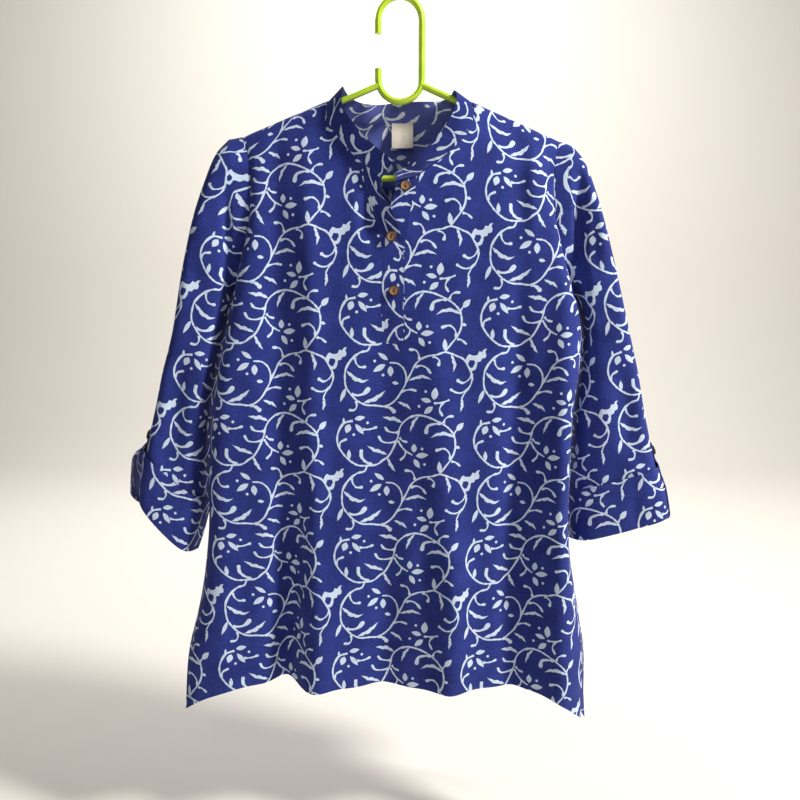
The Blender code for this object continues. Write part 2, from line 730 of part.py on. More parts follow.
def buttons(collection, helpers):
    for name, (which, z) in BUTTONS.items():
        top_z = (STRIP_TOP[which][0][1] + STRIP_TOP[which][1][1]) / 2
        down = (z - top_z) / (OPENING_END_Z + SEAM - top_z)
        place, facing = flat_at(lambda share, down: strip_point(share, down, which), 0.5, down)
        button(name, place, facing if facing.y < 0 else -facing, collection, helpers)
    for side, name in WEARERS.items():
        place, facing = flat_at(lambda share, down: tab_point(side, share * TAB_WIDTH / 2, down), 0, 0.045)
        button("tab_button_" + name, place, facing if facing.x * side > 0 else -facing, collection, helpers)


def main():
    for old in list(bpy.data.objects):
        bpy.data.objects.remove(old, do_unlink=True)
    parts = bpy.data.collections.new("kurta tunic on a hanger")
    helpers = bpy.data.collections.new("cutters")
    for collection in (parts, helpers):
        bpy.context.scene.collection.children.link(collection)
    cotton = material("printed cotton", CLOTH, 0.85)
    hanger(parts, helpers)
    body(cotton, parts)
    placket(cotton, parts)
    for side in WEARERS:
        sleeve(side, cotton, parts)
    collar(cotton, parts)
    label(parts)
    buttons(parts, helpers)


main()
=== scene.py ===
"""Looks of a printed cotton kurta tunic on a tubular hanger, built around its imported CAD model.

Origin: the inside top of the hanger's hook. +X is the viewer's right, +Y points to the wall, +Z is up.
Sizes are in millimetres until mesh() turns them into metres. Left and right are the viewer's; names use
the wearer's. Every cloth piece is a fine grid on its CAD solid's surface with its creases added. The grid
has a flat copy, the cut cloth, where the print is laid out as outlines. Both are triangulated together, so
the print's edges are edges of the mesh, and the flat points are then carried back to the hanging cloth.
"""

import math

import bpy
import numpy as np
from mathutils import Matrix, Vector
from mathutils.bvhtree import BVHTree
from mathutils.geometry import delaunay_2d_cdt


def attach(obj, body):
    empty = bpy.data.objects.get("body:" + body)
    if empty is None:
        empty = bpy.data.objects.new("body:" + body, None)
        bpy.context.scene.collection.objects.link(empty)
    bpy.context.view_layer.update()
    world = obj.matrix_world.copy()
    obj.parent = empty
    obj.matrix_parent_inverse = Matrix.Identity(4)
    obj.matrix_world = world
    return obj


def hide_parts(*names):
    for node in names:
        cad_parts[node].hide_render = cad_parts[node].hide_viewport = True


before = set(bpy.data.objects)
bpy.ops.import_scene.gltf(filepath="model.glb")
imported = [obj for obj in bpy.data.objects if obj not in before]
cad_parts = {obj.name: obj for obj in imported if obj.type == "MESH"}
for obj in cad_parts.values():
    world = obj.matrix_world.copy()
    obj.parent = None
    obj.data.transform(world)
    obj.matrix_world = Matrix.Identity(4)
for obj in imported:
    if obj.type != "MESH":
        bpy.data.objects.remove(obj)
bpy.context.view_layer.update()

# Walls and gaps, as in the CAD source.
CAD_WALL = 1.2
SEAM = 0.4
LAID_ON = 0.4
PINCH = CAD_WALL + SEAM / 2
WALL = 0.7  # the cloth here
BAND_WALL = 1.6
TAPE_WALL = 0.9

# Hanger and shoulders.
ARM_START_X, ARM_START_Z = 29.0, -98.4
ARM_SLOPE = {-1: 0.412, 1: 0.438}
CREST = 6.4
RIDGE = 0.6
NECK_X = 86.0
NECK_FROM = {"front": 0.47, "back": 0.52}  # share of a panel's top edge where the neckline starts
TIP_X = {-1: -189.0, 1: 192.0}
ARMPIT = {-1: (-203.0, -338.0), 1: (214.0, -348.0)}
ARMHOLE_HOLLOW = 18.0
ARMHOLE_DEPTH = (34.0, 34.0)

# Depth of the body, hem and vents.
SPREAD = 60.0
DEPTHS = {"front": (40.0, 33.0), "back": (30.0, 26.0)}
SIDE_POWER = {"front": 36, "back": 9}
HEM_Z = -838.0
HEM_LIFT = 0.3
CORNER_DROP = {"front": {-1: 31.0, 1: 44.0}, "back": {-1: 38.0, 1: 66.0}}
VENT_Z = -738.0
VENT_OPENS = {"front": 16.0, "back": 12.0}
FRONT_INSET = {-1: 7.0, 1: 9.0}

# Side seams: height, viewer's left x, viewer's right x.
SIDE_SEAMS = (
    (-338, -203, 213),
    (-389, -214, 224),
    (-431, -224, 223),
    (-485, -234, 216),
    (-562, -240, 213),
    (-651, -244, 214),
    (-741, -258, 228),
    (-798, -274, 239),
    (-870, -284, 244),
)

# Neckline below the band, and the front opening with its two strips.
NECKLINE = {
    -1: ((-86, -116), (-87, -127), (-86, -140), (-80, -152), (-69, -167), (-56, -182), (-43, -194)),
    1: ((86, -116), (88, -129), (85, -143), (76, -158), (66, -169), (55, -179), (43, -189), (30, -198),
        (20.5, -205)),
}
BACK_NECKLINE = ((-86, -116), (-82, -123), (-70, -130), (-45, -135), (0, -138))
OPENING = (
    # z, x where the strip on top is sewn, x of its loose edge, x where the one below is sewn, x of its edge
    (-200, -41, -21, 19, -4),
    (-226, -38, -22.5, 15, -8),
    (-247, -31, -11, 11, -12),
    (-270, -23, -1, 7, -16),
    (-288, -19.6, 3.3, 4.6, -18.5),
    (-306, -19, 4, 4, -19),
    (-401, -19, 4, 4, -19),
)
OPENING_SEAM = 1.5
OPENING_END_Z = -401.0
STRIP_TOP = {"over": ((-41, -195), (-22, -211)), "under": ((18.4, -206.6), (-5, -212))}
STRIP_LIFT = 13.0
STRIP_LAP = 0.11  # of its width
OPEN_FROM_Z, OPEN_TO_Z = -290.0, -240.0

# Band collar: share of the way round, then the direction it leans in.
BAND = 24.0
BAND_OFF = 1.8
BAND_LAP = 2.5
BAND_LEAN = (
    (0.00, 9, -8, 11),
    (0.08, 11, -9, 11),
    (0.18, 14, -10, 12),
    (0.27, 16, -9, 13),
    (0.33, 18, -6, 14),
    (0.38, 16, -2, 17),
    (0.50, 0, -9, 20),
    (0.62, -16, -2, 17),
    (0.67, -20, 0, 14),
    (0.73, -19, 1, 15),
    (0.82, -16, 9, 11),
    (0.92, -12, 16, 12),
    (1.00, 0, 20, 10),
)

# Folds of the solids: x and z at the top, x and z at the foot, half width, depth inwards, runs to the hem.
FOLDS = {
    "front": (
        (-124, -520, -149, -850, 17, 18, True),
        (-150, -560, -182, -850, 34, 8, True),
        (-122, -260, -118, -500, 22, 6, False),
        (-92, -660, -108, -850, 22, -11, True),
        (-14, -640, -22, -850, 26, 12, True),
        (66, -600, 62, -850, 24, -11, True),
        (120, -520, 134, -850, 30, 3, True),
        (150, -380, 168, -760, 26, 5, False),
        (-33, -206, -24, -276, 13, 8, False),
    ),
    "back": (
        (-150, -480, -168, -850, 24, 12, True),
        (-60, -600, -52, -850, 26, -9, True),
        (30, -520, 22, -850, 24, 14, True),
        (140, -560, 158, -850, 26, -8, True),
        (-20, -230, 30, -520, 34, 6, False),
    ),
    -1: ((-206, -215, -205, -348, 6, 7, False), (-262, -400, -284, -570, 14, 8, False)),
    1: ((213, -185, 212, -352, 8, 12, False), (268, -420, 286, -560, 14, 7, False)),
}

# Sleeves, ring by ring: outer x and z, height of the underarm seam, its distance from the body's side, half
# depth, y of the underarm seam.
SLEEVES = {
    -1: (
        (-206, -160, -343, 1.0, 36, 2),
        (-222, -178, -349, 1.0, 42, 4),
        (-236, -212, -358, 1.2, 48, 6),
        (-250, -254, -374, 1.4, 54, 7),
        (-264, -313, -402, 1.6, 57, 9),
        (-278, -388, -440, 1.8, 56, 10),
        (-292, -438, -484, 2.0, 51, 11),
        (-303, -482, -534, 2.2, 43, 14),
        (-317, -534, -598, 3.4, 35, 16),
        (-323, -564, -634, 9.0, 33, 16),
        (-326, -595, -668, 17.0, 33, 16),
    ),
    1: (
        (207, -167, -353, 1.0, 36, 2),
        (221, -184, -358, 1.0, 42, 4),
        (233, -214, -366, 1.2, 48, 6),
        (246, -256, -382, 1.4, 54, 7),
        (262, -314, -408, 1.6, 57, 9),
        (279, -382, -446, 1.8, 56, 10),
        (293, -436, -490, 2.0, 51, 11),
        (305, -492, -540, 2.0, 43, 14),
        (321, -556, -587, 3.3, 35, 16),
        (332, -587, -620, 3.3, 32, 16),
        (338, -618, -653, 3.3, 30, 16),
    ),
}
SLEEVE_FLAT = 6.0  # how flat the front of a sleeve hangs; 2 is round
SLEEVE_NARROWS = 20
SLEEVE_FRONT = ((0, 2, 4, 6, 9, 11), (28, 31, 37, 40, 38, 37))  # ring, half depth of the front
SLEEVE_FLAT_FROM = 4  # ring
CUFF_FROM, FOOT = 9, 11
CUFF_OFF = CAD_WALL + LAID_ON
TAB_WIDTH = 24.0
TAB_FROM, TAB_RISES, TAB_TO = 8.55, 8.84, 10.3
TAB_STANDS = {-1: 12.0, 1: 0.3}
TAB_ON_SLEEVE, TAB_ON_CUFF = 1.3, 3.8  # its outside, from the sleeve's
TAB_BUTTON_DOWN = 0.045  # share of its length
TAB_OUTER, TAB_BEND = 0.6, 0.15  # shares of its length outside the cuff and round the foot
FOOT_SAG = {-1: 7.0, 1: 1.0}
WEARERS = {-1: "right", 1: "left"}

# The print's repeat, in the flat cloth: x to the right, y down, from the tip of the small blob.
REPEAT = ((168.0, 2.0), (-5.0, 147.5))
REPEATS_OUT = 9
# Where the repeat starts in each flat piece: u, v and the print's angle.
PRINT_AT = {
    "front": (-60.4, 262, 0),
    "back": (-20, 240, 0),
    "placket_over": (12, 33, 0),
    "placket_under": (60, 80, 0),
    "collar": (30, -38, 0),
    "sleeve_right": (-240, 330, 0.2),
    "sleeve_left": (240, 330, -0.2),
    "cuff_right": (-290, 520, 0.15),
    "cuff_left": (290, 520, -0.15),
    "tab_right": (30, 20, 0),
    "tab_left": (30, 20, 0),
}

# Rows of stitches: the edge that each follows, its distance in from it, and the shares it runs between.
HEM_ROWS = (("foot", 14.0, 0.02, 0.98), ("left", 7.0, 0.87, 0.98), ("right", 7.0, 0.87, 0.98))
STITCH_ROWS = {
    "front": HEM_ROWS,
    "back": HEM_ROWS,
    "placket_over": (
        ("left", 4.0, 0, 1),
        ("right", 1.8, 0, 1),
        ("foot", 3.0, 0.1, 0.9),
        ("foot", 13.0, 0.1, 0.9),
    ),
    "placket_under": (("left", 1.8, 0, 0.45), ("right", 4.0, 0, 0.45)),
    "cuff": (("top", 2.5, 0, 1), ("top", 21.0, 0, 1)),
    "tab": (("left", 2.2, 0, 0.6), ("right", 2.2, 0, 0.6), ("top", 2.2, 0.1, 0.9)),
    "collar": (("top", 2.5, 0, 1), ("foot", 4.5, 0, 1)),
}


def mix(a, b, t):
    return a + (b - a) * t


def ease(t):
    t = np.clip(t, 0.0, 1.0)
    return t * t * (3 - 2 * t)


def smooth(knots, values, at):
    """The values at `at` of a smooth curve through rising knots; past its ends it keeps its slope."""
    knots, values, at = np.asarray(knots, float), np.asarray(values, float), np.asarray(at, float)
    slopes = np.gradient(values, knots)
    i = np.clip(np.searchsorted(knots, at) - 1, 0, len(knots) - 2)
    span = knots[i + 1] - knots[i]
    t = (at - knots[i]) / span
    rise = values[i + 1] - values[i]
    start, end = slopes[i] * span, slopes[i + 1] * span
    inside = values[i] + t * (start + t * ((3 * rise - 2 * start - end) + t * (start + end - 2 * rise)))
    low, high = values[i] + start * t, values[i + 1] + end * (t - 1)
    return np.where(t < 0, low, np.where(t > 1, high, inside))


def column(table, key, value, at):
    return smooth([-row[key] for row in table], [row[value] for row in table], -np.asarray(at, float))


def unit(vectors):
    return vectors / np.linalg.norm(vectors, axis=-1, keepdims=True)


def lengths_along(points):
    """How far along a line each of its places is, and the line's length."""
    steps = np.linalg.norm(np.diff(points, axis=0), axis=1)
    return np.concatenate([[0], np.cumsum(steps)]), steps.sum()


def along(points, share):
    points = np.asarray(points, float)
    at, length = lengths_along(points)
    return [smooth(at / length, points[:, k], share) for k in range(points.shape[1])]


def cross(a, b):
    """The cross product of rows of flat vectors."""
    return a[:, 0] * b[:, 1] - a[:, 1] * b[:, 0]


def slope_at(x):
    return np.where(np.asarray(x) > 0, ARM_SLOPE[1], ARM_SLOPE[-1])


def shoulder_z(x):
    slope = slope_at(x)
    return ARM_START_Z - slope * (np.abs(x) - ARM_START_X) + CREST * np.hypot(1, slope)


def side_x(side, z):
    return column(SIDE_SEAMS, 0, 1 if side < 0 else 2, z)


def folds(table, x, z):
    total = np.zeros(np.broadcast(x, z).shape)
    for x0, z0, x1, z1, half, depth, to_hem in table:
        t = (z0 - z) / (z0 - z1)
        if to_hem:
            grown = np.where(t > 0, ease(2 * t), 0)
        else:
            grown = np.where((t > 0) & (t < 1), np.sin(math.pi * np.clip(t, 0, 1)), 0)
        total = total + depth * grown * np.exp(-(((x - mix(x0, x1, t)) / half) ** 2))
    return total


def hung_depth(x, z, depths):
    below = shoulder_z(x) - z
    bend = np.clip(below, 0.0, CREST)
    full = mix(*depths, ease((SIDE_SEAMS[0][0] - z) / (SIDE_SEAMS[0][0] - HEM_Z)))
    over_arm = RIDGE + np.sqrt(np.maximum(CREST**2 - (CREST - bend) ** 2, 0))
    return over_arm + (full - CREST) * (1 - np.exp(-np.maximum(below, 0) / SPREAD))


def armhole(side, t):
    (foot_x, foot_z), top_x = ARMPIT[side], TIP_X[side]
    x = mix(top_x, foot_x, t) - side * ARMHOLE_HOLLOW * np.sin(math.pi * t**0.8)
    z = mix(shoulder_z(top_x), foot_z, t)
    return x, z, hung_depth(top_x, z, ARMHOLE_DEPTH) * (1 - t**2.5) ** 0.8


# Creases of the cloth itself: x and z at the head, x and z at the foot, sideways bow at the middle, half
# width, depth inwards at the middle. Both ends fade out.
CREASES = {
    "front": (
        (-146, -128, -145, -700, 2, 17, 9),
        (-110, -150, -106, -760, -2, 16, -8),
        (-128, -560, -140, -1100, 0, 15, 7),
        (-150, -560, -160, -1100, 0, 16, 5),
        (-204, -330, -232, -1080, 4, 24, -3),
        (-18, -330, -16, -760, 4, 28, 7),
        (38, -350, 72, -760, 5, 22, -7),
        (70, -620, 62, -1050, 0, 20, -4),
        (142, -290, 144, -1050, 2, 17, 12),
        (196, -290, 206, -1150, 2, 22, -18),
        (136, -130, 140, -300, -2, 12, 3),
        (160, -140, 158, -290, 2, 10, -3),
        (180, -150, 178, -260, 1, 7, 3),
        (-62, -170, -70, -330, 3, 14, 2),
        (-46, -190, -30, -300, 2, 9, 4),
        (-178, -600, -212, -830, 4, 12, 2.5),
        (92, -200, 100, -420, 3, 22, 1.8),
        (20, -560, 34, -800, -3, 12, 2),
        (84, -640, 104, -820, 3, 16, 2),
        (-190, -345, 200, -350, 1, 4, -0.8),
    ),
    "back": (
        (-130, -150, -136, -600, 4, 24, 5),
        (-96, -180, -90, -620, -3, 20, -4),
        (12, -300, 6, -760, 4, 28, 5),
        (60, -260, 74, -700, 5, 22, -4.5),
        (134, -160, 146, -520, 3, 20, 4.5),
        (168, -420, 176, -800, -3, 18, 4),
        (-170, -520, -204, -810, 5, 20, -3),
        (-30, -560, -26, -800, 2, 14, 2.5),
        (104, -600, 112, -820, 3, 16, 2),
        (-60, -160, 40, -190, 4, 10, 1.6),
        (-190, -345, 200, -350, 1, 4, -0.8),
    ),
    -1: (
        (-196, -190, -190, -262, 1, 6, 1.5),
        (-250, -250, -238, -350, 2, 12, 2.5),
        (-300, -440, -288, -560, 3, 10, 3),
        (-246, -430, -250, -600, 2, 9, 2.5),
        (-318, -520, -262, -560, 3, 7, 2),
    ),
    1: (
        (232, -380, 236, -640, 2, 10, 5),
        (262, -250, 256, -360, 2, 12, 2.5),
        (318, -480, 292, -560, 3, 9, 2.5),
        (288, -560, 296, -650, 2, 8, 1.8),
        (228, -210, 236, -330, 2, 8, 2),
    ),
}


def creases(table, x, z):
    """How far the creases push the cloth inwards at x, z."""
    total = np.zeros(np.broadcast(x, z).shape)
    for x0, z0, x1, z1, bow, half, depth in table:
        dx, dz = x1 - x0, z1 - z0
        length = math.hypot(dx, dz)
        t = ((x - x0) * dx + (z - z0) * dz) / length**2
        inside = np.sin(math.pi * np.clip(t, 0, 1))
        off = ((x - x0) * dz - (z - z0) * dx) / length - bow * inside
        total = total + depth * inside**0.8 * np.exp(-((off / (half * (0.55 + 0.45 * inside))) ** 2))
    return total


# Surfaces


def shoulder_and_neck(face, side, share):
    part = NECK_FROM[face]
    x = mix(TIP_X[side], side * NECK_X, np.minimum(share / part, 1))
    z = shoulder_z(x)
    if face == "front":
        neck_x, neck_z = along(NECKLINE[side], (share - part) / (1 - part))
    else:
        neck_x, neck_z = along(BACK_NECKLINE, (share - part) / (1 - part))
        neck_x = -side * neck_x
    return np.where(share <= part, x, neck_x), np.where(share <= part, z, neck_z)


def opening_x(side, z):
    return column(OPENING, 0, 1 if side < 0 else 3, np.maximum(z, OPENING_END_Z)) + side * OPENING_SEAM


def panel_side(face, side, share, down):
    """Outside of half the front or back: share 0 at the side to 1 in the middle, down 0, 1 armpit, 2 hem."""
    front = face == "front"
    foot_x, foot_z = ARMPIT[side]
    armpit_z = mix(foot_z, (ARMPIT[-1][1] + ARMPIT[1][1]) / 2, share)

    def inner_x(z):
        return opening_x(side, z) if front else np.zeros_like(z)

    d = np.minimum(down, 1)
    top_x, top_z = shoulder_and_neck(face, side, share)
    x = mix(top_x, mix(foot_x, inner_x(armpit_z), share), d)
    z = mix(top_z, armpit_z, d)
    x = x - side * ARMHOLE_HOLLOW * np.sin(math.pi * d**0.8) * np.maximum(0.0, 1 - 2.2 * share) ** 2
    if front:
        held = np.maximum(0.0, (share - 0.6) / 0.4) ** 2
        x = np.where(z > OPENING_END_Z, mix(x, inner_x(z), held * ease(4 * d)), x)
    edge = armhole(side, d)[2] + PINCH * d**4

    t = np.maximum(down - 1, 0)
    hem_x = mix(side_x(side, HEM_Z), inner_x(np.full_like(share, HEM_Z)), share)
    lift = HEM_LIFT * folds(FOLDS[face], hem_x, HEM_Z)
    hem_z = HEM_Z + lift - CORNER_DROP[face][side] * (1 - share) ** 7
    low_z = mix(armpit_z, hem_z, t)
    open_part = np.clip((VENT_Z - low_z) / (VENT_Z - HEM_Z), 0.0, 1.3)
    seam_x = side_x(side, low_z) - (side * FRONT_INSET[side] * open_part**1.5 if front else 0)
    low_x = mix(seam_x, inner_x(low_z), share)
    low_edge = PINCH + VENT_OPENS[face] * open_part**1.4

    below = down > 1
    return np.where(below, low_x, x), np.where(below, low_z, z), np.where(below, low_edge, edge)


def panel_y(face, x, z, share, edge):
    full = hung_depth(x, z, DEPTHS[face])
    y = edge + (full - edge) * (1 - (1 - share) ** SIDE_POWER[face])
    y = y - folds(FOLDS[face], x, z) * (1 - (1 - share) ** 6)
    y = y - creases(CREASES[face], x, z) * ease(share * 28) * ease((shoulder_z(x) - z - 4) / 24)
    return -y if face == "front" else y


PANEL_ROWS = np.concatenate([
    (0, 0.004, 0.01, 0.018, 0.028, 0.04, 0.055, 0.075),
    np.linspace(0.1, 1, 41),
    1 + np.linspace(0, 1, 107)[1:],
])


def panel_grid(face, half_columns, middle_columns):
    """Places, and the column where the left half ends. The columns run from the viewer's left seam."""
    shares = np.linspace(0, 1 - 1e-6, half_columns)
    share, down = np.meshgrid(shares, PANEL_ROWS)
    left = panel_side(face, -1, share, down)
    right = panel_side(face, 1, share[:, ::-1], down)
    halves = zip((*left, share), (*right, share[:, ::-1]))
    parts = [np.concatenate(pair, axis=1) for pair in halves]
    end = half_columns - 1
    if middle_columns:
        t = np.linspace(0, 1, middle_columns + 2)[1:-1]
        parts = [
            np.concatenate([p[:, :end + 1], mix(p[:, [end]], p[:, [end + 1]], t), p[:, end + 1:]], axis=1)
            for p in parts
        ]
    else:
        parts = [np.delete(p, end, axis=1) for p in parts]
    x, z, edge, share = parts
    return np.stack([x, panel_y(face, x, z, share, edge), z], axis=2), end


def front_y(x, z):
    inward = folds(FOLDS["front"], x, z) + creases(CREASES["front"], x, z)
    return inward - hung_depth(x, z, DEPTHS["front"])


def strip_points(which, share, down):
    (seam_x, seam_z), (loose_x, loose_z) = STRIP_TOP[which]
    top_x, top_z = mix(seam_x, loose_x, share), mix(seam_z, loose_z, share)
    z = mix(top_z, OPENING_END_Z + SEAM, down)
    sewn, loose = (1, 2) if which == "over" else (3, 4)
    x = mix(column(OPENING, 0, sewn, z), column(OPENING, 0, loose, z), share)
    x = mix(top_x, x, ease(6 * down))
    if which == "under":
        return np.stack([x, front_y(x, z) + mix(0.1, CAD_WALL / 2 + LAID_ON, ease(4 * share)), z], axis=-1)
    opened = ease((z - OPEN_FROM_Z) / (OPEN_TO_Z - OPEN_FROM_Z)) * (1 - 0.75 * ease(1 - 5 * down))
    lift = STRIP_LIFT * opened * np.maximum(share, 0) ** 2
    return np.stack([x, front_y(x, z) - mix(0.15, CAD_WALL / 2, ease(4 * share)) - lift, z], axis=-1)


def strip_grid(which, columns, rows):
    """A strip's places; its sewn edge and its foot lap over the edge of the opening."""
    share, down = np.meshgrid(np.linspace(-STRIP_LAP, 1, columns), np.linspace(0, 1 + STRIP_LAP / 7, rows))
    return strip_points(which, share, down)


def ring_values(side, ring):
    rows = SLEEVES[side]
    return [smooth(range(1, FOOT + 1), [row[k] for row in rows], ring) for k in range(len(rows[0]))]


def sleeve_points(side, ring, turn, off=0.0):
    """Places on a sleeve's outside, as the CAD has them, with its creases; off moves them outwards."""
    ring, turn = np.broadcast_arrays(np.asarray(ring, float), np.asarray(turn, float))
    off = np.broadcast_to(off, ring.shape)
    t, facing = np.abs(turn), np.where(turn >= 0, -1.0, 1.0)
    grown = ease(ring / SLEEVE_FLAT_FROM)
    bulge = np.where(facing < 0, mix(2.0, SLEEVE_FLAT, grown), 2.0)
    round_t = np.sqrt(np.maximum(0.0, 1 - np.abs(2 * t - 1) ** bulge))
    narrowed = np.where(facing < 0, mix(4, SLEEVE_NARROWS, grown), 4)
    x0, z0, depth0 = armhole(side, t)
    x0 = x0 + side * SEAM
    outer_x, outer_z, inner_z, clear, half, back_by = ring_values(side, np.maximum(ring, 1))
    inner_x = side_x(side, inner_z) + side * clear
    span = np.hypot(outer_x - inner_x, outer_z - inner_z)
    grow_x, grow_z = (outer_x - inner_x) * off / span, (outer_z - inner_z) * off / span
    x = mix(outer_x + grow_x, inner_x - grow_x, t)
    z = mix(outer_z + grow_z, inner_z - grow_z, t)
    z = z - FOOT_SAG[side] * 4 * t * (1 - t) * ease((ring - CUFF_FROM + 2) / 3)
    hollow = ARMHOLE_HOLLOW * np.sin(math.pi * t**0.8) * np.maximum(0.0, 1 - ring / 3.5) ** 2
    x = x - side * hollow
    half = np.where(facing < 0, smooth(*SLEEVE_FRONT, ring), half)
    depth = (half + off) * round_t * np.sqrt(1 - 0.93 * t**narrowed)
    y = back_by * mix(0.4, 1, t) + facing * depth
    fade = (1 - t**6) * ease(6 * t)
    y = y + np.where(facing < 0, folds(FOLDS[side], x, z) * fade, 0)
    y = y - facing * creases(CREASES[side], x, z) * (1 - t**6) * ease(4 * t)
    blend = np.clip(ring, 0, 1)
    blend = blend * blend * (2 - blend)
    return np.stack([mix(x0, x, blend), mix(facing * depth0, y, blend), mix(z0, z, blend)], axis=-1)


def tube_turns(count):
    """Turns from the underarm seam over the back and the top to the front and the seam again, evenly."""
    angle = np.linspace(-math.pi, math.pi, count)
    return np.sign(angle) * (1 - np.cos(angle)) / 2


def tab_points(side, across, down):
    """Places on a sleeve's tab, which runs down over the cuff, round its foot and up inside the sleeve."""
    stands = TAB_STANDS[side]
    inside = -2 * CAD_WALL - 4 * LAID_ON
    centre, radius = (TAB_ON_CUFF + stands + inside) / 2, (TAB_ON_CUFF + stands - inside) / 2
    ring = mix(TAB_FROM, FOOT, down / TAB_OUTER)
    past = ring - TAB_RISES
    turned = mix(TAB_ON_SLEEVE, TAB_ON_CUFF, ease(past / 0.14)) + stands * ease(past / 0.8)
    angle = math.pi * np.clip((down - TAB_OUTER) / TAB_BEND, 0, 1)
    bend = (down > TAB_OUTER) & (down <= TAB_OUTER + TAB_BEND)
    last = down > TAB_OUTER + TAB_BEND
    ring = np.where(bend, FOOT, ring)
    risen = (down - TAB_OUTER - TAB_BEND) / (1 - TAB_OUTER - TAB_BEND)
    ring = np.where(last, mix(FOOT, TAB_TO, risen), ring)
    turned = np.where(bend, centre + radius * np.cos(angle), np.where(last, inside, turned))
    sink = np.where(bend, (3.6 + 0.2 * stands) * np.sin(angle), 0)
    half = ring_values(side, ring)[4]
    turn = np.copysign((across / (2 * half)) ** 2, across)
    at_foot = sleeve_points(side, np.full_like(ring, FOOT), turn)
    leading = unit(at_foot - sleeve_points(side, ring * 0 + FOOT - 0.2, turn))
    return sleeve_points(side, ring, turn, turned) + leading * sink[..., None]


NECKLINE_PLACES, STRIP_TOP_PLACES = 60, 9


def collar_grid(columns, rows):
    """Places on the inside of the band, from its upper edge to its seam."""

    def neckline(face, side):
        share = np.linspace(NECK_FROM[face], 1, NECKLINE_PLACES)
        x, z, edge = panel_side(face, side, share, np.zeros_like(share))
        return np.stack([x, panel_y(face, x, z, share, edge), z], axis=1)

    share = np.linspace(0, 1, STRIP_TOP_PLACES)
    over, under = (strip_points(which, share, np.zeros_like(share)) for which in ("over", "under"))
    seam = np.concatenate([
        over[:0:-1], neckline("front", -1)[::-1], neckline("back", -1)[1:],
        neckline("back", 1)[-2:0:-1], neckline("front", 1), under[1:],
    ])
    at, length = lengths_along(seam)
    even = np.linspace(0, 1, columns)
    seam = np.stack([np.interp(even, at / length, seam[:, k]) for k in range(3)], axis=1)
    for _ in range(3):
        seam[1:-1] = (seam[:-2] + 2 * seam[1:-1] + seam[2:]) / 4
    shares = [row[0] for row in BAND_LEAN]
    lean = unit(np.stack([smooth(shares, [row[k] for row in BAND_LEAN], even) for k in (1, 2, 3)], axis=1))
    up = np.linspace(1, 0, rows)[:, None, None]
    return seam + lean * mix(-BAND_LAP, BAND_OFF + BAND, up)


# Flat copies of the pieces


def flattened(points, middle):
    """Flat places of a panel: true lengths across from the column in the middle, and down it."""
    along_it, across_it = -points[..., 2], points[..., 0]
    round_it = np.hypot(np.diff(across_it, axis=1), np.diff(points[..., 1], axis=1))
    round_it = np.concatenate([np.zeros((len(points), 1)), np.cumsum(round_it, axis=1)], axis=1)
    u = round_it - round_it[:, middle:middle + 1] + across_it[:, middle:middle + 1]
    down = np.diff(along_it, axis=0)
    extra = np.hypot(down, np.diff(points[..., 1], axis=0)) - np.abs(down)
    extra = np.concatenate([np.zeros((1, points.shape[1])), np.cumsum(extra, axis=0)])
    return u, along_it + extra - extra[len(points) // 3]


UNWRAP_EVERY = 3


def unwrapped(points, side):
    """Flat places of a sleeve's grid, by Blender's own unwrapping of one place in UNWRAP_EVERY."""
    rows = np.unique(np.append(np.arange(0, len(points), UNWRAP_EVERY), len(points) - 1))
    cols = np.unique(np.append(np.arange(0, points.shape[1], UNWRAP_EVERY), points.shape[1] - 1))
    few = points[np.ix_(rows, cols)]
    index = np.arange(few.shape[0] * few.shape[1]).reshape(few.shape[:2])
    quads = np.stack([index[:-1, :-1], index[:-1, 1:], index[1:, 1:], index[1:, :-1]], 2).reshape(-1, 4)
    piece = make_mesh("unwrapping", few.reshape(-1, 3), quads.tolist(), [])
    piece.data.uv_layers.new(name="flat")
    bpy.context.view_layer.objects.active = piece
    piece.select_set(True)
    bpy.ops.object.mode_set(mode="EDIT")
    bpy.ops.mesh.select_all(action="SELECT")
    bpy.ops.uv.unwrap(method="MINIMUM_STRETCH", iterations=10, fill_holes=False, margin=0)
    bpy.ops.object.mode_set(mode="OBJECT")
    corners = np.zeros(len(piece.data.loops), np.int32)
    piece.data.loops.foreach_get("vertex_index", corners)
    places = np.zeros(len(corners) * 2, np.float32)
    piece.data.uv_layers[0].data.foreach_get("uv", places)
    mesh = piece.data
    bpy.data.objects.remove(piece)
    bpy.data.meshes.remove(mesh)
    flat = np.zeros((index.size, 2))
    flat[corners] = places.reshape(-1, 2)
    flat = flat.reshape(*few.shape[:2], 2)
    steps = [np.diff(flat, axis=0), np.diff(few, axis=0)]
    flat *= np.linalg.norm(steps[1], axis=2).sum() / np.linalg.norm(steps[0], axis=2).sum()
    # Turned so that down and across agree with the hanging sleeve round the middle of its front.
    turns = np.linspace(-1, 1, points.shape[1])[cols] * -side
    i, j = len(rows) // 2, int(np.argmin(np.abs(turns - 0.5)))
    near = (slice(i - 3, i + 4), slice(j - 2, j + 3))
    seen = few[near][..., (0, 2)].reshape(-1, 2) * (1, -1)
    laid = flat[near].reshape(-1, 2)
    seen_mid, laid_mid = seen.mean(0), laid.mean(0)
    a, _, b = np.linalg.svd((laid - laid_mid).T @ (seen - seen_mid))
    flat = (flat - laid_mid) @ (a @ b) + seen_mid
    fine = []
    for k in (0, 1):
        part = np.stack([np.interp(np.arange(points.shape[1]), cols, row) for row in flat[..., k]])
        fine.append(np.stack([np.interp(np.arange(len(points)), rows, col) for col in part.T], axis=1))
    return fine[0], fine[1]


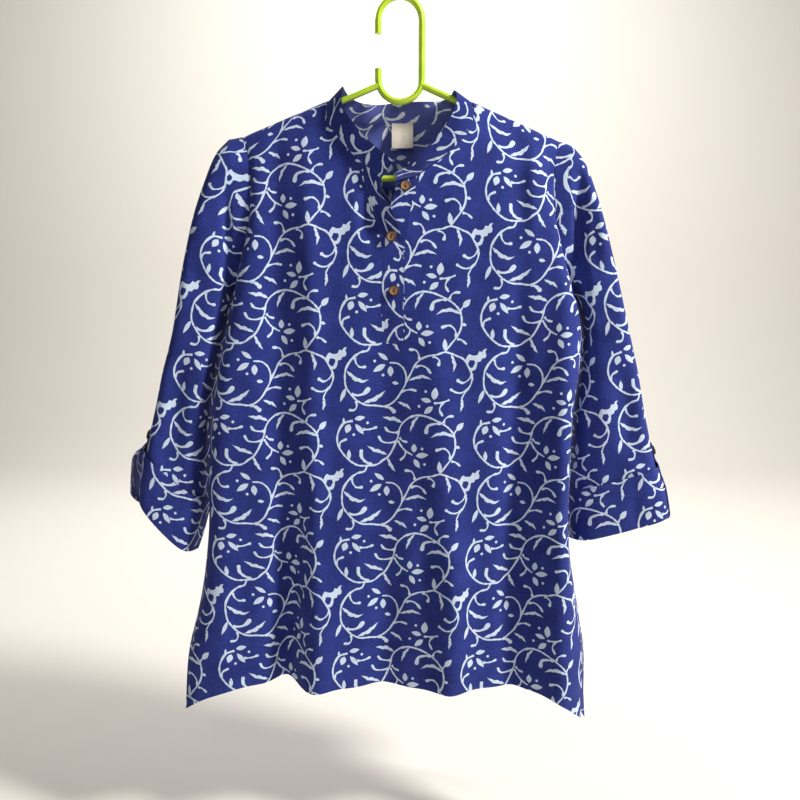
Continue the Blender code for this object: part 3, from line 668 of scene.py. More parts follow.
def unrolled(points):
    """Flat places of a strip: the mean length of its columns and rows."""
    u = np.linalg.norm(np.diff(points, axis=1), axis=2).mean(0)
    v = np.linalg.norm(np.diff(points, axis=0), axis=2).mean(1)
    u, v = np.concatenate([[0], np.cumsum(u)]), np.concatenate([[0], np.cumsum(v)])
    return np.meshgrid(u, v)


def grid_normals(points, outward):
    across, down = np.gradient(points, axis=1), np.gradient(points, axis=0)
    normals = np.cross(across, down)
    normals /= np.maximum(np.linalg.norm(normals, axis=2, keepdims=True), 1e-9)
    row, col = len(points) // 2, points.shape[1] // 3
    if normals[row, col] @ np.asarray(outward, float) < 0:
        normals = -normals
    return normals


def frame_of(rows, columns):
    """Grid places once round the edge of a piece."""
    top = [(0, c) for c in range(columns)]
    right = [(r, columns - 1) for r in range(1, rows)]
    foot = [(rows - 1, c) for c in range(columns - 2, -1, -1)]
    left = [(r, 0) for r in range(rows - 2, 0, -1)]
    return top + right + foot + left


def add_object(name, data):
    made = bpy.data.objects.new(name, data)
    bpy.context.scene.collection.objects.link(made)
    return made


def make_mesh(name, verts, faces, materials, slots=None, normals=None):
    """A smooth-shaded object from places in millimetres."""
    mesh = bpy.data.meshes.new(name)
    mesh.from_pydata((np.asarray(verts, float) * 0.001).tolist(), [], faces)
    for look in materials:
        mesh.materials.append(look)
    if slots is not None:
        mesh.polygons.foreach_set("material_index", np.asarray(slots, np.int32))
    mesh.shade_smooth()
    if normals is not None:
        mesh.normals_split_custom_set_from_vertices(np.asarray(normals, float).tolist())
    return add_object(name, mesh)


def turned_area(outline):
    """Twice the area inside a flat outline, below zero where it runs clockwise."""
    x, y = outline[:, 0], outline[:, 1]
    return float(x @ np.roll(y, -1) - y @ np.roll(x, -1))


def facing_up(flat_points, border):
    return border if turned_area(flat_points[border, :2]) > 0 else border[::-1]


def cut_out(border, inner, flat_points, print_at):
    """Triangles inside a flat border, the print's outlines among their edges: places, corners, 1 if printed."""
    seeds = [Vector(flat_points[i, :2]) for i in border]
    faces = [list(range(len(seeds)))]
    seeds += [Vector(flat_points[i, :2]) for i in inner]
    holes = set()
    if print_at is not None:
        low, high = flat_points.min(0)[:2], flat_points.max(0)[:2]
        for outline, is_hole in printed(low, high, print_at):
            faces.append(list(range(len(seeds), len(seeds) + len(outline))))
            seeds += [Vector(p) for p in outline]
            if is_hole:
                holes.add(len(faces) - 1)
    coords, _, triangles, _, _, owners = delaunay_2d_cdt(seeds, [], faces, 0, 1e-5, True)
    keep, slots = [], []
    for triangle, owner in zip(triangles, owners):
        if 0 in owner:
            keep.append(triangle)
            slots.append(0 if len(owner) == 1 or not holes.isdisjoint(owner) else 1)
    return coords, keep, slots


def corners_and_weights(places, flat_points, cells):
    """The corners of the cell that each flat place lies in, and how much of each corner it has."""
    tree = BVHTree.FromPolygons(flat_points.tolist(), cells.tolist())
    corners = cells[[tree.find_nearest((x, y, 0))[2] for x, y in places]]
    p0, p1, p2 = (flat_points[corners[:, k], :2] for k in range(3))
    a, b, q = p1 - p0, p2 - p0, places - p0
    det = cross(a, b)
    det = np.where(np.abs(det) < 1e-12, 1e-12, det)
    w1, w2 = cross(q, b) / det, cross(a, q) / det
    w1, w2 = np.clip(w1, -0.01, 1.01), np.clip(w2, -0.01, 1.01)
    return corners, (1 - w1 - w2, w1, w2)


def cloth(name, points, flat, outward, looks, print_at=None, edge=None, wall=WALL):
    """A thin cloth piece on a grid of places, with the print cut into it as separate faces."""
    u, v = flat
    rows, columns = u.shape
    normals = grid_normals(points, outward)
    edge = edge or frame_of(rows, columns)
    index = np.arange(rows * columns).reshape(rows, columns)
    a, b, c, d = index[:-1, :-1], index[:-1, 1:], index[1:, 1:], index[1:, :-1]
    cells = np.concatenate([np.stack([a, b, c], 2).reshape(-1, 3), np.stack([a, c, d], 2).reshape(-1, 3)])
    flat_points = np.stack([u.ravel(), v.ravel(), np.zeros(u.size)], axis=1)
    border = facing_up(flat_points, [index[r, c] for r, c in edge])
    on_edge = set(border)
    inner = [i for i in index[1:-1, 1:-1].ravel() if i not in on_edge]
    coords, keep, slots = cut_out(border, inner, flat_points, print_at)

    used = sorted({i for triangle in keep for i in triangle})
    renumber = {old: new for new, old in enumerate(used)}
    keep = np.array([[renumber[i] for i in triangle] for triangle in keep])
    flat_used = np.array([coords[i] for i in used])
    corners, weights = corners_and_weights(flat_used, flat_points, cells)

    def carried(values):
        values = values.reshape(rows * columns, -1)
        return sum(w[:, None] * values[corners[:, k]] for k, w in enumerate(weights))

    outer, normal = carried(points), unit(carried(normals))
    count = len(outer)
    first, second, third = (outer[keep[:, k]] for k in range(3))
    if (np.cross(second - first, third - first) * normal[keep[:, 0]]).sum() < 0:
        keep = keep[:, ::-1]
    ends = np.concatenate([keep[:, [0, 1]], keep[:, [1, 2]], keep[:, [2, 0]]])
    both = {tuple(e) for e in ends.tolist()}
    rim = [e for e in both if (e[1], e[0]) not in both]
    verts = np.concatenate([outer, outer - normal * wall])
    all_faces = keep.tolist() + (keep[:, ::-1] + count).tolist()
    all_faces += [[b, a, a + count, b + count] for a, b in sorted(rim)]
    # The inner faces take the inside copies, whose colours carry painted light.
    all_slots = slots + [s + 2 for s in slots] + [0] * len(rim)
    made = make_mesh(name, verts, all_faces, looks, all_slots, np.concatenate([normal, -normal]))
    layer = made.data.uv_layers.new(name="flat")
    loops = np.zeros(len(made.data.loops), np.int32)
    made.data.loops.foreach_get("vertex_index", loops)
    both_flat = np.concatenate([flat_used, flat_used]) * 0.001
    layer.data.foreach_set("uv", both_flat[loops].astype(np.float32).ravel())
    return made


# The print: a vine scroll in the cloth's own plane.


def curve(points, step):
    """A smooth line through points, as a row of places about step apart."""
    points = np.asarray(points, float)
    if len(points) == 2:
        return points
    at, _ = lengths_along(points)
    count = max(3, round(at[-1] / step) + 1)
    even = np.linspace(0, at[-1], count)
    return np.stack([smooth(at, points[:, k], even) for k in (0, 1)], axis=1)


def directions(line):
    """A flat line's directions along it and to its side."""
    ahead = unit(np.gradient(line, axis=0))
    return ahead, np.stack([-ahead[:, 1], ahead[:, 0]], axis=1)


def stroke(points, widths, step, round_end=False):
    """A band along a line, a little uneven as a hand-cut block prints it."""
    line = curve(points, step)
    tangent, side = directions(line)
    uneven = 1 + 0.2 * np.sin(line @ (0.83, 0.61)) + 0.13 * np.sin(line @ (-1.1, 1.7))
    width = np.interp(np.linspace(0, 1, len(line)), np.linspace(0, 1, len(widths)), widths)
    half = (width * uneven)[:, None] / 2
    outline = [line + side * half]
    if round_end:
        cap = [tangent[-1] * math.sin(a) + side[-1] * math.cos(a) for a in (0.8, math.pi / 2, 2.34)]
        outline.append(line[-1] + np.array(cap) * widths[-1] * 0.56)
    return np.concatenate(outline + [(line - side * half)[::-1]])


def disc(x, y, radius, sides):
    angle = np.linspace(0, 2 * math.pi, sides, endpoint=False)
    return np.stack([x + radius * np.cos(angle), y + radius * np.sin(angle)], axis=1)


def leaf(points, width, saw=False):
    """A pointed leaf along a line, with an uneven margin if asked."""
    line = curve(points, 0.5) if len(points) > 2 else np.linspace(points[0], points[1], 30)
    count = 11 if saw else 6
    line = line[np.linspace(0, len(line) - 1, count).round().astype(int)]
    _, side = directions(line)
    t = np.linspace(0, 1, count)
    left = width / 2 * np.sin(math.pi * t**0.9) ** 0.85
    right = left.copy()
    if saw:
        left[3:-1:3] *= 0.55
        right *= 0.6
        right[2:-1:4] *= 1.5
    return np.concatenate([line + side * left[:, None], (line - side * right[:, None])[-2:0:-1]])


STEMS = (  # lines in the repeat, in millimetres from the blob's tip
    ((-95, 38), (-89, 27), (-84, 17), (-78, 11), (-70, 7), (-58, 5), (-48, 2), (-40, 4), (-33, 7), (-28, 9),
     (-23, 13.5), (-19, 21), (-15.5, 28.5), (-15, 36), (-18, 44), (-24, 52), (-27, 58)),
    ((30, -4), (27, 2), (19, 4), (11, 9), (4, 17), (0, 25), (-1, 35), (0, 45), (7, 56), (14, 63), (24, 68),
     (36, 69), (48, 70), (57, 65), (62, 60), (67, 52), (73, 40), (73, 32), (70, 24), (63, 18), (53, 17)),
    ((8, 87), (-3, 90), (-8, 97), (-11, 107), (-10, 117), (-5, 126), (4, 136), (14, 142), (24, 143),
     (39, 141), (44, 137), (50, 133), (56, 124), (60, 115), (63, 107), (65, 97), (69, 90), (77, 83)),
    ((-91, 81), (-81, 78), (-71, 79), (-60, 83), (-50, 88), (-43, 93), (-36, 102), (-34, 112), (-35, 122),
     (-40, 132), (-47, 141), (-53, 149)),
    ((63, 112), (70, 122), (77, 127), (81, 129)),
    ((-61, 63), (-50, 62), (-42, 59)),
    ((-36, 101), (-33, 96)),
)
COMMAS = (
    # wide at the stem, thin behind it, with a round end
    ((-79, 11), (-80, 5), (-83, 0), (-90, -1)),
    ((-84, 20), (-77, 18), (-70, 21), (-66, 26)),
    ((-63, 7), (-58, 9), (-55, 12), (-56, 17)),
    ((-15, 28), (-20, 36), (-27, 39), (-32, 36)),
    ((-19, 46), (-28, 51), (-35, 50), (-40, 47)),
    ((-50, 62), (-54, 71), (-51, 77)),
    ((11, 11), (13, 18), (17, 22), (23, 22)),
    ((12, 63), (13, 69), (10, 74), (5, 74)),
    ((67, 52), (73, 50), (79, 49), (84, 50)),
    ((-9, 119), (-7, 113), (-1, 110)),
    ((61, 113), (51, 115), (43, 113), (40, 108)),
    ((63, 102), (56, 102), (50, 100), (48, 97)),
    ((65, 108), (69, 112), (73, 113)),
    ((73, 125), (71, 131), (67, 135)),
    ((20, 98), (29, 98), (36, 96)),
    ((-49, 87), (-47, 82), (-42, 79), (-38, 79)),
    ((-40, 132), (-42, 123), (-48, 118), (-57, 120)),
    ((-39, 134), (-34, 135), (-29, 139)),
)
THICK_COMMAS = (
    ((7, 55), (16, 56), (22, 54), (27, 49)),
    ((48, 70), (55, 73), (58, 76)),
    ((31, 142), (22, 137), (18, 131), (18, 125)),
    ((-52, 87), (-60, 88), (-68, 91), (-70, 98)),
)
SAW_LEAVES = (
    # a line and the width
    (((-92, 36), (-84, 33), (-77, 31), (-70, 32), (-64, 35)), 5),
    (((-41, 4), (-38, 11), (-36, 18), (-38, 26)), 5),
    (((-27, 57), (-26, 66), (-28, 74)), 4.5),
    (((1, 26), (7, 32), (16, 38), (22, 39), (28, 37)), 6),
    (((21, 65), (29, 63), (38, 59), (44, 54), (48, 51)), 6.5),
    (((63, 64), (70, 67), (75, 69), (79, 74)), 5),
    (((50, 130), (43, 127), (34, 124), (25, 118)), 5.5),
    (((50, 133), (54, 142), (60, 151)), 5),
    (((68, 90), (60, 86), (51, 85), (44, 83)), 6),
    (((-79, 79), (-85, 86), (-88, 93), (-90, 99)), 4.5),
    (((-35, 105), (-43, 101), (-53, 100), (-65, 105)), 5.5),
)
LEAVES = (
    # base, tip, width
    ((-48, 1), (-49, -14), 6),
    ((0, 47), (-7, 64), 5),
    ((3, 135), (3, 122), 5),
    ((-33, 97), (-24, 87), 7),
    ((-34, 116), (-28, 118), 4),
    ((-3, 91), (-3, 83), 3),
    ((56, 41), (64, 42), 4.4),
    # the sprigs' three leaves, each on its own
    ((-61, 59), (-59, 44), 8.5),
    ((-64, 61), (-77, 58), 6),
    ((-62, 67), (-73, 76), 7),
    ((51, 14), (39, 5), 5.5),
    ((48, 19), (33, 28), 7),
    ((54, 21), (54, 34), 7.5),
    ((10, 85), (23, 83), 6),
    ((4, 91), (0, 102), 8),
    ((11, 91), (21, 104), 6),
    ((83, 126), (83, 115), 7),
    ((85, 130), (101, 128), 7),
    ((83, 134), (90, 145), 6.5),
)
DOTS = ((-71, 49), (-79, 67), (35, 15), (45, 32), (26, 90), (9, 104), (93, 121), (96, 140))
BLOB = ((2, -2), (-2, -1), (-4, 2), (-7, 1), (-9, 5), (-16, 6), (-19, 4.5), (-22, 8), (-24, 13), (-20, 20),
        (-17, 24.5), (-12, 23.5), (-9.5, 18), (-9, 14), (-5, 13), (-4, 10), (0, 9), (1, 4), (0, 2))
BLOB_HOLE = ((-20.3, 17), (-18.5, 11.6), (-13, 11.8), (-11.8, 15), (-14.5, 20.5), (-17.3, 21))


def repeat_outlines():
    shapes = [stroke(line, (2.6, 2.0, 2.3, 1.9), 2.6) for line in STEMS]
    shapes += [stroke(line, (4.0, 1.8, 1.7, 2.4, 3.5), 2.4, True) for line in COMMAS]
    shapes += [stroke(line, (4.6, 2.3, 3.0, 3.9, 5.0), 2.6, True) for line in THICK_COMMAS]
    shapes += [leaf(line, width, True) for line, width in SAW_LEAVES]
    shapes += [leaf((base, tip), width) for base, tip, width in LEAVES]
    shapes += [disc(x, y, 1.8, 7) for x, y in DOTS]
    shapes.append(curve(BLOB + (BLOB[0],), 1.8)[:-1])
    shapes = [(shape, False) for shape in shapes] + [(np.array(BLOB_HOLE, float), True)]
    return [(shape if turned_area(shape) > 0 else shape[::-1], is_hole) for shape, is_hole in shapes]


OUTLINES = repeat_outlines()


def printed(low, high, place):
    """Every outline of the repeat that meets the box from low to high; place is as in PRINT_AT."""
    u0, v0, angle = place
    turn = np.array([[math.cos(angle), -math.sin(angle)], [math.sin(angle), math.cos(angle)]])
    across, down = (turn @ np.array(step) for step in REPEAT)
    found = []
    reach = range(-REPEATS_OUT, REPEATS_OUT + 1)
    for outline, is_hole in OUTLINES:
        turned = outline @ turn.T + (u0, v0)
        for i in reach:
            for j in reach:
                moved = turned + across * i + down * j
                if (moved.max(0) > low).all() and (moved.min(0) < high).all():
                    found.append((moved, is_hole))
    return found


# Materials


def add_node(tree, kind, inputs, output=0, **settings):
    """Adds a shader node, sets it up and gives its output; an input is a value or another node's output."""
    made = tree.nodes.new("ShaderNode" + kind)
    for key, value in settings.items():
        setattr(made, key, value)
    for key, value in inputs.items():
        if isinstance(value, bpy.types.NodeSocket):
            tree.links.new(value, made.inputs[key])
        else:
            made.inputs[key].default_value = value
    return made.outputs[output]


def noise(tree, place, scale, detail=2):
    """Noise with its own scale along each axis, as 0 to 1 round a half."""
    if not isinstance(scale, tuple):
        scale = (scale, scale, scale)
    moved = add_node(tree, "Mapping", {"Vector": place, "Scale": scale})
    return add_node(tree, "TexNoise", {"Vector": moved, "Scale": 1.0, "Detail": detail})


def sums(tree, *terms):
    """The sum of outputs, each times its share."""
    total = 0.0
    for value, share in terms:
        total = add_node(tree, "Math", {0: value, 1: share, 2: total}, operation="MULTIPLY_ADD")
    return total


def ramp(tree, value, low, high, start=0.0, end=1.0):
    return add_node(tree, "MapRange", {0: value, 1: low, 2: high, 3: start, 4: end})


def blend(tree, share, a, b):
    a, b = ((*c, 1) if isinstance(c, tuple) else c for c in (a, b))
    return add_node(tree, "Mix", {0: share, 6: a, 7: b}, 2, data_type="RGBA")


def look(name, **values):
    """A new material, its tree and its shader; the values go on the shader's own sockets."""
    made = bpy.data.materials.new(name)
    made.use_nodes = True
    shader = made.node_tree.nodes["Principled BSDF"]
    for key, value in values.items():
        shader.inputs[key.replace("_", " ").title().replace("Ior", "IOR")].default_value = value
    return made, made.node_tree, shader


def dressed(tree, shader, colour, roughness, *bumps):
    """Joins colour, roughness and bumps, each a height, a depth in metres and a strength, to the shader."""
    tree.links.new(colour, shader.inputs["Base Color"])
    tree.links.new(roughness, shader.inputs["Roughness"])
    normal = None
    for height, depth, strength in bumps:
        inputs = {"Height": height, "Distance": depth, "Strength": strength}
        if normal is not None:
            inputs["Normal"] = normal
        normal = add_node(tree, "Bump", inputs)
    tree.links.new(normal, shader.inputs["Normal"])


THREAD_PITCH = 0.00055  # metres, of the weave
WAVE_SCALE = 0.31416  # of a wave texture whose bands are a unit apart


def cotton(name, dark, pale, speck, speck_share):
    """Plain-weave cotton in the flat cloth's own plane: slubs, mottle, specks of the other colour, weave."""
    made, tree, shader = look(name, sheen_weight=0.05, sheen_roughness=0.6, specular_ior_level=0.15)
    place = add_node(tree, "UVMap", {}, uv_map="flat")
    mottle = noise(tree, place, 30, 4)
    slub_down, slub_across = noise(tree, place, (1300, 50, 1)), noise(tree, place, (50, 1300, 1))
    fine = noise(tree, place, 430)
    shade = sums(tree, (mottle, 0.35), (fine, 0.35), (slub_down, 0.2), (slub_across, 0.2))
    colour = blend(tree, ramp(tree, shade, 0.42, 0.68), dark, pale)
    specks = ramp(tree, noise(tree, place, 620, 3), 1 - speck_share, 1.04 - speck_share, 0, 0.75)
    colour = blend(tree, specks, colour, speck)
    wave = {"Vector": place, "Scale": WAVE_SCALE / THREAD_PITCH, "Distortion": 0.6, "Detail Scale": 0.4}
    bands = [add_node(tree, "TexWave", wave, 1, bands_direction=axis) for axis in "XY"]
    centred = [add_node(tree, "Math", {0: band, 1: 0.5}, operation="SUBTRACT") for band in bands]
    weave = add_node(tree, "Math", {0: centred[0], 1: centred[1]}, operation="MULTIPLY")
    rough = ramp(tree, shade, 0.42, 0.68, 0.78, 0.93)
    height = sums(tree, (weave, 1.0), (slub_down, 0.5), (slub_across, 0.5))
    rumple = noise(tree, place, (42, 30, 1), 3)
    dressed(tree, shader, colour, rough, (rumple, 0.0016, 0.5), (height, 0.00014, 0.6))
    return made


BLUE_DARK, BLUE_PALE = (0.010, 0.020, 0.140), (0.032, 0.050, 0.290)
MINT, MINT_PALE = (0.54, 0.64, 0.82), (0.71, 0.82, 0.97)
COTTON = [
    cotton("indigo cotton", BLUE_DARK, BLUE_PALE, (0.05, 0.07, 0.31), 0.33),
    cotton("mint print", MINT, MINT_PALE, (0.16, 0.22, 0.50), 0.36),
    # The inside copies: the cloth's reverse, a little duller and lighter, made lighter still as painted light
    # so the inside of the neck looks lit.
    cotton("indigo cotton inside with painted light", (0.08, 0.105, 0.37), (0.125, 0.15, 0.48), (0.18, 0.22, 0.55), 0.33),
    cotton("mint print inside with painted light", (0.80, 0.87, 0.94), (0.90, 0.95, 0.98), (0.3, 0.36, 0.68), 0.42),
]


def sewing_thread(name, dark, pale):
    """Twisted thread."""
    made, tree, shader = look(name, sheen_weight=0.2, specular_ior_level=0.4)
    place = add_node(tree, "TexCoord", {}, 3)
    wave = {"Vector": place, "Scale": 700.0, "Distortion": 1.0}
    twist = add_node(tree, "TexWave", wave, 1, bands_direction="DIAGONAL")
    rough = ramp(tree, twist, 0, 1, 0.5, 0.7)
    dressed(tree, shader, blend(tree, twist, dark, pale), rough, (twist, 0.0001, 0.6))
    return made


THREAD = sewing_thread("blue thread", (0.03, 0.035, 0.2), (0.06, 0.07, 0.33))
BUTTON_THREAD = sewing_thread("brown thread", (0.05, 0.025, 0.012), (0.16, 0.08, 0.04))


def coconut(name, dark, pale):
    """Turned coconut shell: short dark fibres in a brown ground, satin."""
    made, tree, shader = look(name, coat_weight=0.25, coat_roughness=0.35)
    place = add_node(tree, "TexCoord", {}, 3)
    fibres, clouds = noise(tree, place, (2600, 2600, 500), 3), noise(tree, place, 350, 3)
    shade = sums(tree, (fibres, 0.7), (clouds, 0.4))
    colour = blend(tree, ramp(tree, shade, 0.38, 0.72), dark, pale)
    dressed(tree, shader, colour, ramp(tree, fibres, 0.3, 0.7, 0.38, 0.6), (fibres, 0.00008, 0.5))
    return made


COCONUT = coconut("coconut", (0.13, 0.055, 0.02), (0.52, 0.27, 0.11))
COCONUT_RIM = coconut("coconut rim", (0.020, 0.009, 0.006), (0.075, 0.030, 0.015))


def label_tape():
    made, tree, shader = look("cream label tape", sheen_weight=0.2, specular_ior_level=0.3)
    place = add_node(tree, "UVMap", {}, uv_map="flat")
    wave = {"Vector": place, "Scale": 900.0, "Distortion": 0.4}
    ribs = add_node(tree, "TexWave", wave, 1, bands_direction="Y")
    cloud = noise(tree, place, 180, 3)
    colour = blend(tree, sums(tree, (ribs, 0.3), (cloud, 0.7)), (0.70, 0.62, 0.50), (0.86, 0.80, 0.70))
    rough = ramp(tree, cloud, 0.3, 0.7, 0.7, 0.85)
    dressed(tree, shader, colour, rough, (cloud, 0.0008, 0.4), (ribs, 0.0001, 0.6))
    return made


def lime_plastic():
    made, tree, shader = look(
        "lime plastic", coat_weight=0.5, coat_roughness=0.12, specular_ior_level=0.5, subsurface_weight=0.08,
        subsurface_radius=(0.6, 1.0, 0.2), subsurface_scale=0.002,
    )
    place = add_node(tree, "TexCoord", {}, 3)
    flow, dust = noise(tree, place, 40, 3), noise(tree, place, 900, 2)
    colour = blend(tree, ramp(tree, flow, 0.3, 0.7), (0.47, 0.68, 0.022), (0.58, 0.79, 0.04))
    rough = ramp(tree, sums(tree, (flow, 0.6), (dust, 0.4)), 0.35, 0.7, 0.2, 0.36)
    dressed(tree, shader, colour, rough, (flow, 0.0006, 0.25), (dust, 0.00004, 0.4))
    return made


# The pieces


def sewn(name, points, flat, outward, rests_on, edge=None, wall=WALL):
    """A printed piece that stands for the CAD node of its name, with its rows of stitches, as a sheet."""
    piece = cloth(name + "_cloth", points, flat, outward, COTTON, PRINT_AT[name], edge, wall)
    finish_piece(piece, name)
    normals = grid_normals(points, outward)
    runs = []
    kind = name.removesuffix("_right").removesuffix("_left")
    for row_edge, distance, first, last in STITCH_ROWS.get(kind, ()):
        line, across = inset(points, normals, row_edge, distance)
        first, last = round(first * (len(line) - 1)), round(last * (len(line) - 1))
        runs.append((line[first:last + 1], across[first:last + 1]))
    with_pieces = [stitches(name + "_stitches", runs)] if runs else []
    return declared(piece)


FRONT_COLUMNS, FRONT_MIDDLE, BACK_COLUMNS = 50, 5, 53
STRIP_COLUMNS, STRIP_ROWS = 7, 46
SLEEVE_TURNS = 97
SLEEVE_HEAD = np.linspace(0, 1, 5)
SLEEVE_RINGS = np.concatenate([SLEEVE_HEAD, np.linspace(1, FOOT, 90)[1:]])
# The cuff's rings run to the foot and on round its edge. Each stands off by a share: 1 is the cuff's outside,
# 0 is inside the sleeve's wall.
CUFF_EDGE = (0.022, 0.034, 0.034, 0.022, 0)
CUFF_RINGS = np.concatenate([np.linspace(CUFF_FROM, FOOT, 22), FOOT + np.array(CUFF_EDGE)])
CUFF_OFFS = np.concatenate([np.full(21, 1.0), (0.99, 0.9, 0.66, 0.34, 0.1, 0.0)])
CUFF_SEEN_ROW = 11  # shows which way is out
TAB_COLUMNS, TAB_ROWS = 7, 60
COLLAR_COLUMNS, COLLAR_ROWS = 140, 8
COLLAR_SEEN, NECK_MIDDLE = (4, 46), (0, 0, -150)  # a place on the band and the middle show which way is out


def body():
    points, end = panel_grid("front", FRONT_COLUMNS, FRONT_MIDDLE)
    rows, columns = points.shape[:2]
    stop = int(np.argmin(np.abs(points[:, end, 2] - OPENING_END_Z)))
    start = end + FRONT_MIDDLE + 1
    # Round the front's edge by way of the opening: down its left side, across its end and up again.
    path = [(0, c) for c in range(end + 1)] + [(r, end) for r in range(1, stop + 1)]
    path += [(stop, c) for c in range(end + 1, start + 1)] + [(r, start) for r in range(stop - 1, -1, -1)]
    path += frame_of(rows, columns)[start + 1:]
    sewn("front", points, flattened(points, end), (0, -1, 0), ["hanger"], path)
    points, end = panel_grid("back", BACK_COLUMNS, 0)
    sewn("back", points, flattened(points, end), (0, 1, 0), ["hanger"])


def placket():
    for which in ("over", "under"):
        points = strip_grid(which, STRIP_COLUMNS, STRIP_ROWS)
        sewn("placket_" + which, points, unrolled(points), (0, -1, 0), ["front_cloth"])


def tube(name, side, points, row, rests_on):
    """A sewn piece that goes round the arm; row is a ring that shows which way is out."""
    out = points[row, SLEEVE_TURNS // 3] - points[row].mean(0)
    sewn(name, points, unwrapped(points, side), out, rests_on)


def sleeve(side):
    name = WEARERS[side]
    turns = tube_turns(SLEEVE_TURNS)[::-side]
    turn, ring = np.meshgrid(turns, SLEEVE_RINGS)
    points = sleeve_points(side, ring, turn)
    tube("sleeve_" + name, side, points, len(ring) // 2, ["front_cloth", "back_cloth"])
    turn, ring = np.meshgrid(turns, CUFF_RINGS)
    off = mix(-WALL, CUFF_OFF + CAD_WALL, np.broadcast_to(CUFF_OFFS[:, None], turn.shape))
    points = sleeve_points(side, ring, turn, off)
    tube("cuff_" + name, side, points, CUFF_SEEN_ROW, ["sleeve_" + name + "_cloth"])
    half = TAB_WIDTH / 2
    across, down = np.meshgrid(np.linspace(-half, half, TAB_COLUMNS), np.linspace(0, 1, TAB_ROWS))
    points = tab_points(side, across, down)
    sewn("tab_" + name, points, unrolled(points), (side, 0, 0.3), ["cuff_" + name + "_cloth"])


def collar():
    points = collar_grid(COLLAR_COLUMNS, COLLAR_ROWS)
    out = points[COLLAR_SEEN] - NECK_MIDDLE
    sewn("collar", points, unrolled(points), out, ["front_cloth", "back_cloth"], wall=BAND_WALL)


def inset(points, normals, edge, distance):
    """A line over the cloth that runs a distance in from one edge of its grid, with its normals."""
    turned = {
        "top": lambda grid: grid,
        "foot": lambda grid: grid[::-1],
        "left": lambda grid: grid.transpose(1, 0, 2),
        "right": lambda grid: grid[:, ::-1].transpose(1, 0, 2),
    }[edge]
    points, normals = turned(points), turned(normals)
    steps = np.linalg.norm(np.diff(points, axis=0), axis=2)
    at = np.concatenate([np.zeros((1, steps.shape[1])), np.cumsum(steps, axis=0)])
    columns = np.arange(points.shape[1])
    row = np.array([np.searchsorted(at[:, c], distance) for c in columns]).clip(1, len(points) - 1)
    low, high = at[row - 1, columns], at[row, columns]
    t = ((distance - low) / (high - low))[:, None]
    return (mix(points[row - 1, columns], points[row, columns], t),
            mix(normals[row - 1, columns], normals[row, columns], t))


STITCH_PITCH, STITCH_LONG, STITCH_WIDE, STITCH_PROUD = 3.2, 2.3, 0.55, 0.35


def stitches(name, runs):
    """Single stitches along lines over the cloth, each a slim closed lozenge; one piece for all the runs."""
    verts, faces = [], []
    for line, normals in runs:
        at, _ = lengths_along(line)
        starts = np.arange(STITCH_PITCH / 2, at[-1] - STITCH_LONG, STITCH_PITCH)
        for start in starts:
            places = [start, start + STITCH_LONG / 2, start + STITCH_LONG]
            a, b, c = np.stack([np.interp(places, at, line[:, k]) for k in range(3)], axis=1)
            up = np.array([np.interp(places[1], at, normals[:, k]) for k in range(3)])
            side = np.cross(c - a, up)
            side *= STITCH_WIDE / 2 / np.linalg.norm(side)
            base = len(verts)
            verts += [a, b + side, b + up * STITCH_PROUD, b - side, c, b - up * 0.1]
            for p, q in ((1, 2), (2, 3), (3, 5), (5, 1)):
                faces += [(base, base + q, base + p), (base + 4, base + p, base + q)]
    return finish_piece(make_mesh(name, verts, faces, [THREAD]))


BUTTONS = {"button_1": ("under", -219.5), "button_2": ("over", -278.0), "button_3": ("over", -341.0)}
BUTTON_RADIUS, BUTTON_OFF, BUTTON_THICK = 6.3, 1.3, 2.6
BUTTON_HOLE_RADIUS, BUTTON_HOLE_SPACING = 1.1, 3.4
BUTTON_RIM = 4.6  # the darker rim starts here
STRAND_RADIUS, SHANK_RADIUS = 0.26, 1.5
BUTTON_FACE = (
    # radius, height of the face, height of the back
    (0.0, -0.75, -2.6),
    (2.4, -0.7, -2.6),
    (3.9, -0.5, -2.6),
    (4.5, -0.45, -2.6),
    (4.75, -0.1, -2.6),
    (5.3, 0.0, -2.55),
    (5.9, -0.15, -2.4),
    (6.2, -0.5, -2.15),
    (6.3, -1.1, -1.7),
)


def rod(path, radius, sides):
    """A round thread along a path."""
    path = np.asarray(path, float)
    tangent = unit(np.gradient(path, axis=0))
    across = unit(np.cross(tangent, (0.3, 0.2, 0.93)))
    up = np.cross(across, tangent)
    verts = [p + radius * (a * math.cos(t) + u * math.sin(t)) for p, a, u in zip(path, across, up)
             for t in np.linspace(0, 2 * math.pi, sides, endpoint=False)]
    last = (len(path) - 1) * sides
    faces = []
    for base in range(0, last, sides):
        for k in range(sides):
            after = (k + 1) % sides
            faces.append((base + k, base + after, base + sides + after, base + sides + k))
    faces += [tuple(range(sides))[::-1], tuple(range(last, last + sides))]
    return verts, faces


